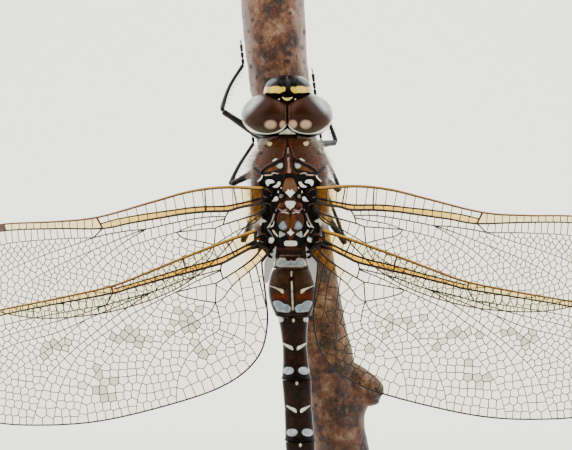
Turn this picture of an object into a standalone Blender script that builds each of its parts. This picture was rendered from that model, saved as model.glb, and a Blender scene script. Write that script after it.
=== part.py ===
"""A migrant hawker dragonfly (Aeshna mixta) clinging head up to a cut length of branch, life size.

Frame: +Z up, -Y towards the viewer of the insect's back, +X to its right. The origin is the centre
of the underside of the display base. Sizes in this file are millimetres, written to Blender in metres.
Body coordinates are measured from a point inside the thorax, level with the hindwing roots.
"""
import math

import bmesh
import bpy
import numpy as np
from mathutils import Matrix, Vector

MM = 0.001
BODY_Y = -8.0                 # body point, in front of the base's centre
BODY_Z = 61.0                 # body point, above the base's underside
GAP = 0.12                    # clearance between neighbouring pieces

# Abdomen: (length, half width at front, middle and rear, half depth) of each segment.
ABDOMEN_TOP = -3.0            # height of the front of segment 1
SEGMENTS = (
    (1.25, 1.55, 1.60, 1.75, 1.60),
    (4.70, 1.78, 2.30, 1.60, 2.05),
    (6.10, 1.50, 1.20, 1.45, 1.30),
    (6.00, 1.44, 1.36, 1.46, 1.25),
    (5.80, 1.46, 1.38, 1.46, 1.22),
    (5.50, 1.45, 1.38, 1.45, 1.20),
    (4.60, 1.44, 1.38, 1.44, 1.18),
    (3.20, 1.43, 1.42, 1.40, 1.15),
    (2.50, 1.40, 1.36, 1.28, 1.12),
    (1.50, 1.26, 1.22, 1.10, 1.00),
)
CERCUS_LENGTH = 4.6
EPIPROCT_LENGTH = 2.6

# Head, about its own centre.
HEAD = Vector((-0.22, 0.0, 10.66))
EYE_RADII = (2.20, 3.25, 2.05)
EYE_OUT = 2.03                # eye centre from the middle of the head
EYE_Y = -0.35
EYE_LEAN = math.radians(25)   # tops of the eyes lean together
SEAM = 0.06                   # half the gap between the eyes
CAPSULE_RADII = (3.40, 3.00, 2.15)
FACE_RADII = (2.32, 3.00, 2.55)
FACE_REAR = 11.70               # height where the face meets the head capsule
NECK_RADIUS = 1.20

# Thorax stations, front to rear: height, half width, back (dorsal) and breast (ventral) positions.
THORAX = (
    (8.35, 2.10, -1.90, 1.90),
    (7.70, 2.60, -2.55, 2.60),
    (6.90, 3.15, -3.10, 3.30),
    (6.00, 3.58, -3.55, 3.90),
    (5.00, 3.72, -3.85, 4.35),
    (4.30, 3.76, -3.60, 4.55),
    (3.50, 3.78, -3.32, 4.65),
    (1.80, 3.84, -3.30, 4.60),
    (0.00, 3.60, -3.28, 4.10),
    (-1.20, 3.10, -3.10, 3.40),
    (-2.20, 2.50, -2.80, 2.70),
    (-2.88, 1.90, -2.40, 2.10),
)

# Wings: hinge, droop away from the viewer, and outline in the wing's plane (out, up) from the hinge.
WING_THICKNESS = 0.5
WING_SWEEP = math.radians(0.75)     # the left pair sits this much lower, the right pair higher
FOREWING_HINGE = Vector((2.70, -3.10, 3.00))
FOREWING_DROOP = math.radians(30)
FOREWING = (
    (-0.20, 0.50), (4.00, 0.70), (8.00, 0.35), (12.50, -0.62), (18.90, -2.00), (24.00, -2.36),
    (30.20, -2.52), (35.00, -3.30), (37.80, -4.70), (38.60, -6.00), (37.80, -7.70), (35.00, -9.70),
    (31.00, -11.30), (26.00, -12.00), (20.00, -11.70), (15.00, -10.80), (10.00, -9.20), (6.50, -7.30),
    (4.00, -5.20), (1.90, -3.30), (-0.30, -1.70),
)
HINDWING_HINGE = Vector((3.10, -3.10, -1.30))
HINDWING_DROOP = math.radians(12)
HINDWING = (
    (0.10, 0.75), (3.20, -0.28), (7.60, -1.90), (11.00, -3.20), (14.50, -4.45), (20.00, -5.60),
    (25.40, -6.60), (30.00, -7.60), (34.00, -8.90), (36.30, -10.40), (36.90, -11.80), (36.00, -13.60),
    (33.40, -15.60), (30.00, -16.90), (25.40, -17.80), (20.60, -17.90), (16.50, -17.60),
    (12.30, -16.80), (7.00, -15.40), (3.70, -14.20), (1.30, -12.70), (-0.30, -10.70), (-0.90, -8.00),
    (-0.75, -5.50), (-0.60, -3.30), (-1.20, -1.30), (-0.40, -0.30),
)

# Legs: coxa and knee in body coordinates, then the grip on the branch: degrees round from its front,
# and the heights of the ankle and of the claws.
LEGS = {
    "front_left": ((-1.35, 2.95, 7.70), (-6.60, 3.90, 11.20), -97, 16.0, 18.0),
    "front_right": ((1.25, 2.95, 7.70), (4.60, 7.40, 8.20), 92, 12.9, 15.1),
    "middle_left": ((-1.60, 4.40, 6.10), (-5.80, 5.60, 4.00), -86, 8.2, 10.2),
    "middle_right": ((1.60, 4.40, 6.10), (5.00, 8.00, 3.40), 84, 7.3, 9.4),
    "rear_left": ((-1.70, 5.05, 3.90), (-4.70, 7.60, -1.70), -80, 3.2, 5.2),
    "rear_right": ((1.70, 5.05, 3.90), (5.60, 8.40, -1.90), 78, 2.9, 4.9),
}
FOOT_CLEARANCE = 0.14
FEMUR_RADIUS = 0.42
TIBIA_RADIUS = 0.27
TARSUS_RADIUS = 0.25

# Branch: its middle line by height (x, y), and radii at the two cut ends.
BRANCH_LINE = ((26.5, -2.05, 6.0), (16.0, -1.25, 7.9), (0.0, 0.95, 11.2), (-12.0, 3.10, 13.9),
               (-22.0, 5.05, 16.2), (-28.5, 6.40, 17.8))
BRANCH_RADIUS_TOP = 3.10
BRANCH_RADIUS_BOTTOM = 2.85
STUB_HEIGHT = -15.6
STUB_LENGTH = 3.3

# Stand.
BASE_SIZE = (72.0, 54.0, 6.0)
ROD_RADIUS = 1.6
CUP_RADIUS = 4.0
CUP_HEIGHT = 4.5
SOCKET_DEPTH = 4.0
SOCKET_CLEARANCE = 0.3


# Body coordinates in millimetres to world coordinates in metres.
TO_WORLD = Matrix.Scale(MM, 4) @ Matrix.Translation((0.0, BODY_Y, BODY_Z))


def clear_scene():
    for item in list(bpy.data.objects):
        bpy.data.objects.remove(item, do_unlink=True)


def make_collection(name):
    collection = bpy.data.collections.new(name)
    bpy.context.scene.collection.children.link(collection)
    return collection


def make_material(name, colour, roughness, metallic=0.0):
    material = bpy.data.materials.new(name)
    material.use_nodes = True
    shader = material.node_tree.nodes["Principled BSDF"]
    shader.inputs["Base Color"].default_value = (*colour, 1.0)
    shader.inputs["Roughness"].default_value = roughness
    shader.inputs["Metallic"].default_value = metallic
    return material


clear_scene()
PARTS = make_collection("dragonfly_on_branch")
CUTTERS = make_collection("cutters")
MATERIALS = {
    "eye": make_material("eye_brown", (0.055, 0.018, 0.008), 0.15),
    "shell": make_material("thorax_brown", (0.085, 0.040, 0.022), 0.45),
    "abdomen": make_material("abdomen_dark_brown", (0.022, 0.012, 0.008), 0.35),
    "leg": make_material("leg_black", (0.010, 0.008, 0.007), 0.35),
    "wing": make_material("wing_membrane", (0.80, 0.74, 0.45), 0.20),
    "bark": make_material("bark_brown", (0.16, 0.085, 0.060), 0.85),
    "wood": make_material("walnut_base", (0.090, 0.045, 0.025), 0.40),
    "brass": make_material("brass_rod", (0.72, 0.52, 0.24), 0.28, 1.0),
}


def place(name, data, material, collection=PARTS):
    """Links a new object that holds the given mesh or curve."""
    item = bpy.data.objects.new(name, data)
    collection.objects.link(item)
    if material:
        data.materials.append(MATERIALS[material])
    return item


def place_mesh(name, mesh_builder, material, smooth_angle=40, collection=PARTS):
    """Turns a bmesh in body coordinates into an object with outward faces and smooth shading."""
    bmesh.ops.recalc_face_normals(mesh_builder, faces=mesh_builder.faces)
    mesh_builder.transform(TO_WORLD)
    mesh = bpy.data.meshes.new(name)
    mesh_builder.to_mesh(mesh)
    mesh_builder.free()
    mesh.shade_smooth()
    mesh.set_sharp_from_angle(angle=math.radians(smooth_angle))
    return place(name, mesh, material, collection)


def ring(centre, half_width, back, breast, sides, power):
    """A closed cross-section: a superellipse whose back and breast reach differ."""
    middle = (back + breast) / 2
    reach = (breast - back) / 2
    points = []
    for turn in np.arange(sides) * (2 * math.pi / sides):
        across = math.copysign(abs(math.cos(turn)) ** (2 / power), math.cos(turn))
        deep = math.copysign(abs(math.sin(turn)) ** (2 / power), math.sin(turn))
        points.append((centre[0] + half_width * across, centre[1] + middle + reach * deep, centre[2]))
    return points


def loft(name, rings, material):
    """Skins a stack of rings and closes both ends."""
    builder = bmesh.new()
    loops = [[builder.verts.new(point) for point in points] for points in rings]
    for lower, upper in zip(loops, loops[1:]):
        for index in range(len(lower)):
            follow = (index + 1) % len(lower)
            builder.faces.new((lower[index], lower[follow], upper[follow], upper[index]))
    builder.faces.new(loops[0])
    builder.faces.new(loops[-1])
    return place_mesh(name, builder, material)


def keep_side(builder, point, normal):
    """Cuts a bmesh by a plane, closes the cut, and keeps the side that the normal points to."""
    geometry = builder.verts[:] + builder.edges[:] + builder.faces[:]
    found = bmesh.ops.bisect_plane(builder, geom=geometry, plane_co=point, plane_no=normal,
                                   clear_inner=True)
    edges = [piece for piece in found["geom_cut"] if isinstance(piece, bmesh.types.BMEdge)]
    bmesh.ops.holes_fill(builder, edges=edges, sides=0)


def ellipsoid(name, centre, radii, material, turn=0.0, swell=0.0, side=None, collection=PARTS):
    """A UV sphere stretched to three radii, turned about the vertical, and kept on one side of a plane."""
    builder = bmesh.new()
    bmesh.ops.create_uvsphere(builder, u_segments=24, v_segments=14, radius=1.0)
    stretch = Matrix.Diagonal((*[radius + swell for radius in radii], 1.0))
    builder.transform(Matrix.Translation(centre) @ Matrix.Rotation(turn, 4, "Z") @ stretch)
    if side:
        keep_side(builder, *side)
    return place_mesh(name, builder, material, 60, collection)


def cylinder(name, foot, top, foot_radius, top_radius, material, segments=16, collection=PARTS):
    """A closed cylinder or cone between two body points."""
    start, end = Vector(foot), Vector(top)
    builder = bmesh.new()
    bmesh.ops.create_cone(builder, cap_ends=True, segments=segments, radius1=foot_radius,
                          radius2=top_radius, depth=(end - start).length)
    turn = (end - start).to_track_quat("Z", "Y").to_matrix().to_4x4()
    builder.transform(Matrix.Translation((start + end) / 2) @ turn)
    return place_mesh(name, builder, material, 40, collection)


def tube(name, points, radii, material, resolution=2):
    """A limb: a poly curve with a round bevel, a radius at each point and closed ends."""
    curve = bpy.data.curves.new(name, "CURVE")
    curve.dimensions = "3D"
    curve.bevel_depth = MM
    curve.bevel_resolution = resolution
    curve.use_fill_caps = True
    spline = curve.splines.new("POLY")
    spline.points.add(len(points) - 1)
    for handle, point, radius in zip(spline.points, points, radii):
        handle.co = (*(TO_WORLD @ Vector(point)), 1.0)
        handle.radius = radius
    return place(name, curve, material)


def as_mesh(item, material):
    """Replaces a curve object by its welded mesh, so that it can be cut or joined."""
    name = item.name
    graph = bpy.context.evaluated_depsgraph_get()
    mesh = bpy.data.meshes.new_from_object(item.evaluated_get(graph))
    builder = bmesh.new()
    builder.from_mesh(mesh)
    builder.transform(TO_WORLD.inverted() @ item.matrix_world)
    bmesh.ops.remove_doubles(builder, verts=builder.verts, dist=0.001)
    bpy.data.objects.remove(item, do_unlink=True)
    return place_mesh(name, builder, material)


def combine(item, tool, operation):
    """Adds an exact Boolean with a tool object kept out of the model."""
    tool.hide_render = True
    tool.display_type = "WIRE"
    cut = item.modifiers.new(tool.name, "BOOLEAN")
    cut.operation = operation
    cut.object = tool
    cut.solver = "EXACT"


def centre_line(height):
    """Middle of the abdomen: it drifts slightly to the right and away from the viewer."""
    down = max(0.0, ABDOMEN_TOP - height)
    return 0.15 + 0.06 * down * down / (down + 4.0), 0.20 + 0.02 * down + 0.0006 * down * down


def make_eyes():
    for side, name in ((-1, "left"), (1, "right")):
        centre = HEAD + Vector((side * EYE_OUT, EYE_Y, 0.0))
        seam = ((HEAD.x + side * SEAM, 0.0, 0.0), (side, 0.0, 0.0))
        ellipsoid(f"eye_{name}", centre, EYE_RADII, "eye", turn=-side * EYE_LEAN, side=seam)


def make_head():
    capsule = ellipsoid("head_capsule", HEAD + Vector((0.0, 0.60, 0.04)), CAPSULE_RADII, "shell",
                        side=((0.0, 0.0, FACE_REAR - GAP), (0.0, 0.0, -1.0)))
    face = ellipsoid("face", HEAD + Vector((0.0, 0.60, 1.24)), FACE_RADII, "shell",
                     side=((0.0, 0.0, FACE_REAR), (0.0, 0.0, 1.0)))
    for side, name in ((-1, "left"), (1, "right")):
        centre = HEAD + Vector((side * EYE_OUT, EYE_Y, 0.0))
        beyond_seam = ((HEAD.x - side * SEAM, 0.0, 0.0), (side, 0.0, 0.0))
        hollow = ellipsoid(f"cut_eye_{name}", centre, EYE_RADII, None, turn=-side * EYE_LEAN,
                           swell=GAP, side=beyond_seam, collection=CUTTERS)
        combine(capsule, hollow, "DIFFERENCE")
        combine(face, hollow, "DIFFERENCE")
    neck_hole = cylinder("cut_neck", (HEAD.x, 0.30, 7.40), (HEAD.x, 0.30, 8.80), NECK_RADIUS + 0.2,
                         NECK_RADIUS + 0.2, None, collection=CUTTERS)
    combine(capsule, neck_hole, "DIFFERENCE")
    cylinder("prothorax", (HEAD.x, 0.30, 7.60), (HEAD.x, 0.30, 8.70), NECK_RADIUS, NECK_RADIUS, "shell")
    return neck_hole


def make_antennae():
    for side, name in ((-1, "left"), (1, "right")):
        root = HEAD + Vector((side * 0.75, -1.95, 3.00))
        points = (root, root + Vector((side * 0.35, -0.50, 0.90)), root + Vector((side * 0.20, -0.60, 2.20)),
                  root + Vector((-side * 0.20, -0.30, 3.60)))
        tube(f"antenna_{name}", points, (0.28, 0.26, 0.26, 0.26), "leg", resolution=1)


def make_thorax(neck_hole):
    rings = [ring((0.0, 0.0, height), half_width, back, breast, 24, 2.4)
             for height, half_width, back, breast in THORAX]
    thorax = loft("thorax", rings, "shell")
    combine(thorax, neck_hole, "DIFFERENCE")


def make_abdomen():
    front = ABDOMEN_TOP
    for number, (length, front_half, middle_half, rear_half, half_depth) in enumerate(SEGMENTS, start=1):
        rings = []
        for share in np.linspace(0.0, 1.0, 7):
            height = front - share * (length - GAP)
            swell = front_half * (1 - share) ** 2 + rear_half * share ** 2
            pull = 2 * middle_half - (front_half + rear_half) / 2
            half_width = swell + 2 * share * (1 - share) * pull
            depth = half_depth * half_width / middle_half
            rings.append(ring((*centre_line(height), height), half_width, -depth, depth, 16, 2.1))
        loft(f"abdomen_{number}", rings, "abdomen")
        front -= length
    return front


def make_appendages(rear):
    middle_x, middle_y = centre_line(rear)
    for side, name in ((-1, "left"), (1, "right")):
        rings = []
        for share in np.linspace(0.0, 1.0, 7):
            height = rear - share * CERCUS_LENGTH
            half_width = 0.28 + 0.34 * math.sin(math.pi * min(1.0, 0.15 + 0.85 * share)) ** 1.2
            out = 0.62 + 0.35 * math.sin(math.pi * share * 0.8)
            lift = -0.25 - 0.30 * math.sin(math.pi * share)
            rings.append(ring((middle_x + side * out, middle_y + lift, height), half_width,
                              -0.26, 0.26, 10, 2.0))
        loft(f"cercus_{name}", rings, "abdomen")
    rings = [ring((middle_x, middle_y + 0.50 + 0.15 * share, rear - share * EPIPROCT_LENGTH),
                  0.62 - 0.34 * share, -0.27, 0.27, 10, 2.0) for share in np.linspace(0.0, 1.0, 4)]
    loft("epiproct", rings, "abdomen")


def make_wing(name, outline, hinge, droop, side):
    """A flat plate in the wing's own plane, hung from its hinge."""
    curve = bpy.data.curves.new(name, "CURVE")
    curve.dimensions = "2D"
    curve.fill_mode = "BOTH"
    curve.extrude = WING_THICKNESS / 2 * MM
    curve.resolution_u = 3
    spline = curve.splines.new("BEZIER")
    spline.use_cyclic_u = True
    spline.bezier_points.add(len(outline) - 1)
    for handle, (out, up) in zip(spline.bezier_points, outline):
        handle.co = (out * MM, up * MM, 0.0)
        handle.handle_left_type = "AUTO"
        handle.handle_right_type = "AUTO"
    wing = place(name, curve, "wing")
    outward = Vector((side * math.cos(droop), math.sin(droop), 0.0))
    upward = Vector((0.0, 0.0, 1.0))
    frame = Matrix((outward, upward, outward.cross(upward))).transposed().to_4x4()
    sweep = Matrix.Rotation(side * WING_SWEEP, 4, "Z")
    root = TO_WORLD @ Vector((side * hinge.x, hinge.y, hinge.z))
    wing.matrix_world = Matrix.Translation(root) @ frame @ sweep


def make_wings():
    for side, name in ((-1, "left"), (1, "right")):
        make_wing(f"forewing_{name}", FOREWING, FOREWING_HINGE, FOREWING_DROOP, side)
        make_wing(f"hindwing_{name}", HINDWING, HINDWING_HINGE, HINDWING_DROOP, side)


def between(start, end, share):
    return Vector(start).lerp(Vector(end), share)


def branch_point(height):
    """Middle of the branch, smoothed over a few millimetres of its height."""
    heights, xs, ys = zip(*sorted(BRANCH_LINE))
    near = np.clip(np.linspace(height - 3.0, height + 3.0, 5), heights[0], heights[-1])
    return Vector((np.interp(near, heights, xs).mean(), np.interp(near, heights, ys).mean(), height))


def branch_radius(height):
    ends = (BRANCH_LINE[-1][0], BRANCH_LINE[0][0])
    return float(np.interp(height, ends, (BRANCH_RADIUS_BOTTOM, BRANCH_RADIUS_TOP)))


def grip_point(height, degrees):
    """A point just off the bark, where a foot lies."""
    reach = branch_radius(height) + TARSUS_RADIUS + FOOT_CLEARANCE
    turn = math.radians(degrees)
    return branch_point(height) + Vector((math.sin(turn), -math.cos(turn), 0.0)) * reach


def make_legs():
    for name, (coxa, knee, angle, ankle_height, claw_height) in LEGS.items():
        ankle = grip_point(ankle_height, angle)
        claw = grip_point(claw_height, angle)
        thigh = (coxa, between(coxa, knee, 0.18), between(coxa, knee, 0.60), between(coxa, knee, 0.96))
        tube(f"femur_{name}", thigh, (0.52, FEMUR_RADIUS, FEMUR_RADIUS, 0.34), "leg")
        outward = (Vector(knee) - Vector(coxa)).normalized() * 0.35
        bow = between(knee, ankle, 0.50) + outward
        start = between(knee, ankle, 0.10) + outward * 0.4
        end = between(knee, ankle, 0.97)
        tube(f"tibia_{name}", (start, bow, end), (0.32, TIBIA_RADIUS, TIBIA_RADIUS), "leg", resolution=1)
        foot = (between(ankle, claw, 0.12), between(ankle, claw, 0.60), claw)
        tube(f"tarsus_{name}", foot, (TARSUS_RADIUS,) * 3, "leg", resolution=1)


def make_branch():
    top, bottom = BRANCH_LINE[0][0], BRANCH_LINE[-1][0]
    heights = np.linspace(bottom, top, 15)
    points = [branch_point(height) for height in heights]
    radii = [branch_radius(height) for height in heights]
    branch = as_mesh(tube("perch_branch", points, radii, None, resolution=5), "bark")
    root = branch_point(STUB_HEIGHT) + Vector((1.2, 0.0, 0.5))
    tip = root + Vector((0.86, -0.10, -0.50)).normalized() * (STUB_LENGTH + 1.4)
    stub = cylinder("join_stub", root, tip, 1.9, 0.95, None, collection=CUTTERS)
    combine(branch, stub, "UNION")
    return points[0], (points[1] - points[0]).normalized()


def make_stand(branch_end, branch_direction):
    width, depth, thickness = BASE_SIZE
    builder = bmesh.new()
    bmesh.ops.create_cube(builder, size=1.0)
    builder.transform(Matrix.Translation((0.0, -BODY_Y, thickness / 2 - BODY_Z))
                      @ Matrix.Diagonal((width, depth, thickness, 1.0)))
    base = place_mesh("stand_base", builder, "wood", 30)
    edge = base.modifiers.new("rounded_edges", "BEVEL")
    edge.width = 0.8 * MM
    edge.segments = 2
    foot_height = thickness - BODY_Z - 4.0
    foot = (branch_end.x, branch_end.y, foot_height)
    hole = cylinder("cut_rod", (foot[0], foot[1], foot_height - 0.3), (foot[0], foot[1], foot_height + 9.0),
                    ROD_RADIUS + 0.15, ROD_RADIUS + 0.15, None, collection=CUTTERS)
    combine(base, hole, "DIFFERENCE")
    cup_foot = branch_end - branch_direction * (CUP_HEIGHT - SOCKET_DEPTH + SOCKET_CLEARANCE + 0.7)
    cup_top = cup_foot + branch_direction * CUP_HEIGHT
    rod = cylinder("stand_rod", foot, (foot[0], foot[1], cup_foot.z + 0.6), ROD_RADIUS, ROD_RADIUS, "brass")
    cup = cylinder("join_cup", cup_foot, cup_top, CUP_RADIUS - 0.7, CUP_RADIUS, None, 20, CUTTERS)
    socket_foot = branch_end - branch_direction * SOCKET_CLEARANCE
    socket_radius = BRANCH_RADIUS_BOTTOM + SOCKET_CLEARANCE
    socket = cylinder("cut_socket", socket_foot, socket_foot + branch_direction * 9.0,
                      socket_radius, socket_radius, None, 20, CUTTERS)
    combine(rod, cup, "UNION")
    combine(rod, socket, "DIFFERENCE")


def main():
    make_eyes()
    neck_hole = make_head()
    make_antennae()
    make_thorax(neck_hole)
    make_appendages(make_abdomen())
    make_wings()
    make_legs()
    make_stand(*make_branch())


main()
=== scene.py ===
# %% [markdown]
# # A migrant hawker on a cut branch
# The solid model of the insect, its perch and its stand is loaded first and never moved. Every surface
# below is a finer skin for one of those solids. This lesson makes most of them from numpy arrays: a
# shape is a function of two parameters, evaluated on a whole grid at once, then handed to a mesh.

# %% Load the frame
import math

import bpy
import mathutils
import numpy as np
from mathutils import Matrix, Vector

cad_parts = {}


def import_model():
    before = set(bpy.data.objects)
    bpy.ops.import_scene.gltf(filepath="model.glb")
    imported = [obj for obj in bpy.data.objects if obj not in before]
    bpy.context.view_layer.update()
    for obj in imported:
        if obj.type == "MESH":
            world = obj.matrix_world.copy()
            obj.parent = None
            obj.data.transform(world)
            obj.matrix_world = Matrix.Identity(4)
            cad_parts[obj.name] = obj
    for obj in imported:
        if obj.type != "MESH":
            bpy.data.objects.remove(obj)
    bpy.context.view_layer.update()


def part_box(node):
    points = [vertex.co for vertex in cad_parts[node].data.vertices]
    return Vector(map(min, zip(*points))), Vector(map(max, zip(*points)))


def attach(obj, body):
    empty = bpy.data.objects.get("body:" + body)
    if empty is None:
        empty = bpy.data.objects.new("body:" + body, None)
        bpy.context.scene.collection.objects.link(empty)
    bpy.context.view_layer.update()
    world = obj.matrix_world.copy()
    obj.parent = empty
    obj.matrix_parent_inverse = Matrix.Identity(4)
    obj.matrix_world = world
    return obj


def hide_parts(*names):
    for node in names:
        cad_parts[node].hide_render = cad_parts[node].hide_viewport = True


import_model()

MM = 0.001
SIDES = ((-1, "left"), (1, "right"))
rng = np.random.default_rng(7)

# %% [markdown]
# Body coordinates are millimetres from a point inside the thorax: x to the insect's right, y away
# from whoever looks at its back, z towards its head. The solids fix where that point is: the thorax
# reaches 8.35 mm above it and 3.85 mm in front of it.

# %% Body coordinates
THORAX_TOP, THORAX_BACK = 8.35, 3.85
thorax_low, thorax_high = (np.array(corner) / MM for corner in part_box("thorax"))
BODY = np.array([0.0, thorax_low[1] + THORAX_BACK, thorax_high[2] - THORAX_TOP])
print("body point in millimetres:", BODY.round(2))


def world(points):
    """Body millimetres to frame metres."""
    return (np.asarray(points, float) + BODY) * MM


# %% [markdown]
# A closed surface is a grid of rings. The same helper skins the thorax, a leg or the branch: row i of
# the grid is ring i, the columns run round it, and one face closes each end. Attributes such as colour
# are written point by point, so that materials can follow the surface.

# %% Mesh helpers
def unit(vectors):
    """Vectors divided by their own lengths."""
    vectors = np.asarray(vectors, float)
    return vectors / np.linalg.norm(vectors, axis=-1, keepdims=True)


def circle(count):
    """Angles evenly round a full turn."""
    return np.arange(count) * 2 * math.pi / count


def rings_round(ahead, guide, sides):
    """A ring of unit vectors round each way ahead: across * cos + over * sin."""
    across = unit(np.cross(ahead, guide))
    over = np.cross(ahead, across)
    turn = circle(sides)[:, None]
    return across[..., None, :] * np.cos(turn) + over[..., None, :] * np.sin(turn)


def wall_faces(sides):
    """The quads between two rings that follow each other."""
    corner = np.arange(sides)
    follow = (corner + 1) % sides
    return np.stack([corner, follow, follow + sides, corner + sides], 1)


def grid_points(x, y, z):
    """Points ring by ring; z is one height per ring."""
    return np.stack([x, y, np.broadcast_to(z[:, None], x.shape)], -1).reshape(-1, 3)


def new_mesh(name, points, faces, smooth=True):
    """A mesh object at the origin from body points (n, 3) and a list of face index arrays."""
    mesh = bpy.data.meshes.new(name)
    sizes = np.concatenate([np.full(len(block), block.shape[1]) for block in faces])
    corners = np.concatenate([block.ravel() for block in faces]).astype(np.int32)
    mesh.vertices.add(len(points))
    mesh.vertices.foreach_set("co", world(points).astype(np.float32).ravel())
    mesh.loops.add(len(corners))
    mesh.loops.foreach_set("vertex_index", corners)
    mesh.polygons.add(len(sizes))
    mesh.polygons.foreach_set("loop_start", np.concatenate([[0], np.cumsum(sizes)[:-1]]).astype(np.int32))
    mesh.update(calc_edges=True)
    mesh.validate()
    mesh.polygons.foreach_set("use_smooth", np.full(len(mesh.polygons), smooth))
    piece = bpy.data.objects.new(name, mesh)
    bpy.context.scene.collection.objects.link(piece)
    return piece


def add_value(piece, name, values, domain="POINT"):
    """Stores one number, or one vector, for each point or face."""
    values = np.asarray(values, np.float32)
    kind = "FLOAT" if values.ndim == 1 else "FLOAT_VECTOR"
    layer = piece.data.attributes.new(name, kind, domain)
    layer.data.foreach_set("value" if values.ndim == 1 else "vector", values.ravel())


def ring_faces(rows, columns, start=0, flip=False):
    """Quads between neighbouring rings, and one face to close each end."""
    row, column = np.meshgrid(np.arange(rows - 1), np.arange(columns), indexing="ij")
    follow = (column + 1) % columns
    quads = np.stack([row * columns + column, row * columns + follow,
                      (row + 1) * columns + follow, (row + 1) * columns + column], -1).reshape(-1, 4)
    first = np.arange(columns)[None, ::-1]
    last = (rows - 1) * columns + np.arange(columns)[None]
    blocks = [quads + start, first + start, last + start]
    return [block[:, ::-1] for block in blocks] if flip else blocks


def finish_piece(piece, material, slot, *nodes, **values):
    """Gives a piece its material and point values, and the solids that it stands for. Its slot is not used.
    """
    for name, value in values.items():
        add_value(piece, name, value)
    piece.data.materials.append(material)
    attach(piece, "root")
    if nodes:
        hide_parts(*nodes)
    print(f"{piece.name}: {len(piece.data.polygons)} faces")
    return piece


# %% [markdown]
# Every material is a Principled shader with a few nodes in front of it. One function adds a node with
# its settings and links, and one turns a hex colour as seen on a screen into the linear numbers that
# the shader wants.

# %% Material helpers
def linear(hex_colour):
    """sRGB hex to linear light: divide by 12.92 near black, a power of 2.4 above that."""
    channels = np.array([int(hex_colour[i:i + 2], 16) for i in (1, 3, 5)]) / 255
    light = np.where(channels <= 0.04045, channels / 12.92, ((channels + 0.055) / 1.055) ** 2.4)
    return (*light.tolist(), 1.0)


def add_node(tree, kind, links=None, **settings):
    """Adds a node. Settings that name a socket fill it, others are properties; links feed sockets."""
    node = tree.nodes.new(kind)
    named = {socket.name.replace(" ", "_"): socket for socket in reversed(node.inputs)}
    for key, value in settings.items():
        if key.startswith("in") and key[2:].isdigit():
            node.inputs[int(key[2:])].default_value = value
        elif key in named and not hasattr(node, key):
            named[key].default_value = value
        else:
            setattr(node, key, value)
    for key, source in (links or {}).items():
        target = node.inputs[key]
        tree.links.new(source if isinstance(source, bpy.types.NodeSocket) else source.outputs[0], target)
    return node


def attribute(tree, name, output="Fac"):
    """A value that the mesh carries, as a node output."""
    return add_node(tree, "ShaderNodeAttribute", attribute_name=name).outputs[output]


def noise(tree, scale, detail, **settings):
    """Noise over the object's own coordinates: a scale of 1000 has lumps of about 1 mm."""
    place = add_node(tree, "ShaderNodeTexCoord").outputs["Object"]
    return add_node(tree, "ShaderNodeTexNoise", {"Vector": place}, Scale=scale, Detail=detail,
                    **settings).outputs["Fac"]


def fit(tree, value, low, high, to_low=0.0, to_high=1.0, **settings):
    """A value that runs from low to high, stretched to run from to_low to to_high."""
    return add_node(tree, "ShaderNodeMapRange", {"Value": value}, From_Min=low, From_Max=high,
                    To_Min=to_low, To_Max=to_high, **settings).outputs[0]


def overlay(tree, mask, ground, colour):
    """A plain colour laid over a colour output where the mask is 1."""
    return add_node(tree, "ShaderNodeMix", {0: mask, 6: ground}, data_type="RGBA",
                    in7=linear(colour)).outputs[2]


def shaded(tree, colour, scale):
    """A colour output made darker or lighter by a number."""
    return add_node(tree, "ShaderNodeVectorMath", {0: colour, "Scale": scale},
                    operation="SCALE").outputs["Vector"]


def add_bump(tree, shader, height, strength, distance, **settings):
    """Relief of a distance in mm from a height output."""
    bump = add_node(tree, "ShaderNodeBump", {"Height": height}, Strength=strength, Distance=distance * MM,
                    **settings)
    tree.links.new(bump.outputs["Normal"], shader.inputs["Normal"])


def new_material(name, colour, roughness, **sockets):
    """A Principled material with plain values on its own sockets; returns material, tree, shader."""
    material = bpy.data.materials.new(name)
    material.use_nodes = True
    shader = material.node_tree.nodes["Principled BSDF"]
    shader.inputs["Base Color"].default_value = linear(colour)
    shader.inputs["Roughness"].default_value = roughness
    for key, value in sockets.items():
        shader.inputs[key.replace("_", " ")].default_value = value
    return material, material.node_tree, shader


def ramp(tree, source, stops):
    """A colour ramp from (place, hex colour) stops."""
    node = add_node(tree, "ShaderNodeValToRGB", {"Fac": source})
    elements = node.color_ramp.elements
    while len(elements) < len(stops):
        elements.new(0.5)
    for element, (place, colour) in zip(elements, stops):
        element.position = place
        element.color = linear(colour)
    return node.outputs["Color"]


# %% [markdown]
# The camera looks straight at the insect's back from 300 mm, as a close-up lens does. The frame is
# 55.5 mm wide at the body, so the wing tips and the end of the abdomen lie outside it. The floor
# curves up into a backdrop of pale paper, with a large soft lamp over each.

# %% Camera
VIEW_DISTANCE, VIEW_WIDTH, SENSOR = 300.0, 55.5, 36.0
VIEW_X = -0.34
camera_data = bpy.data.cameras.new("camera")
camera_data.sensor_width = SENSOR
camera_data.lens = SENSOR * VIEW_DISTANCE / VIEW_WIDTH
camera_data.clip_start = 0.01
camera = bpy.data.objects.new("camera", camera_data)
camera.location = world([VIEW_X, -VIEW_DISTANCE, 0.0])
camera.rotation_euler = (math.radians(90), 0.0, 0.0)
bpy.context.scene.collection.objects.link(camera)
bpy.context.scene.camera = camera
print("lens", round(camera_data.lens, 1), "mm")


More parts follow.
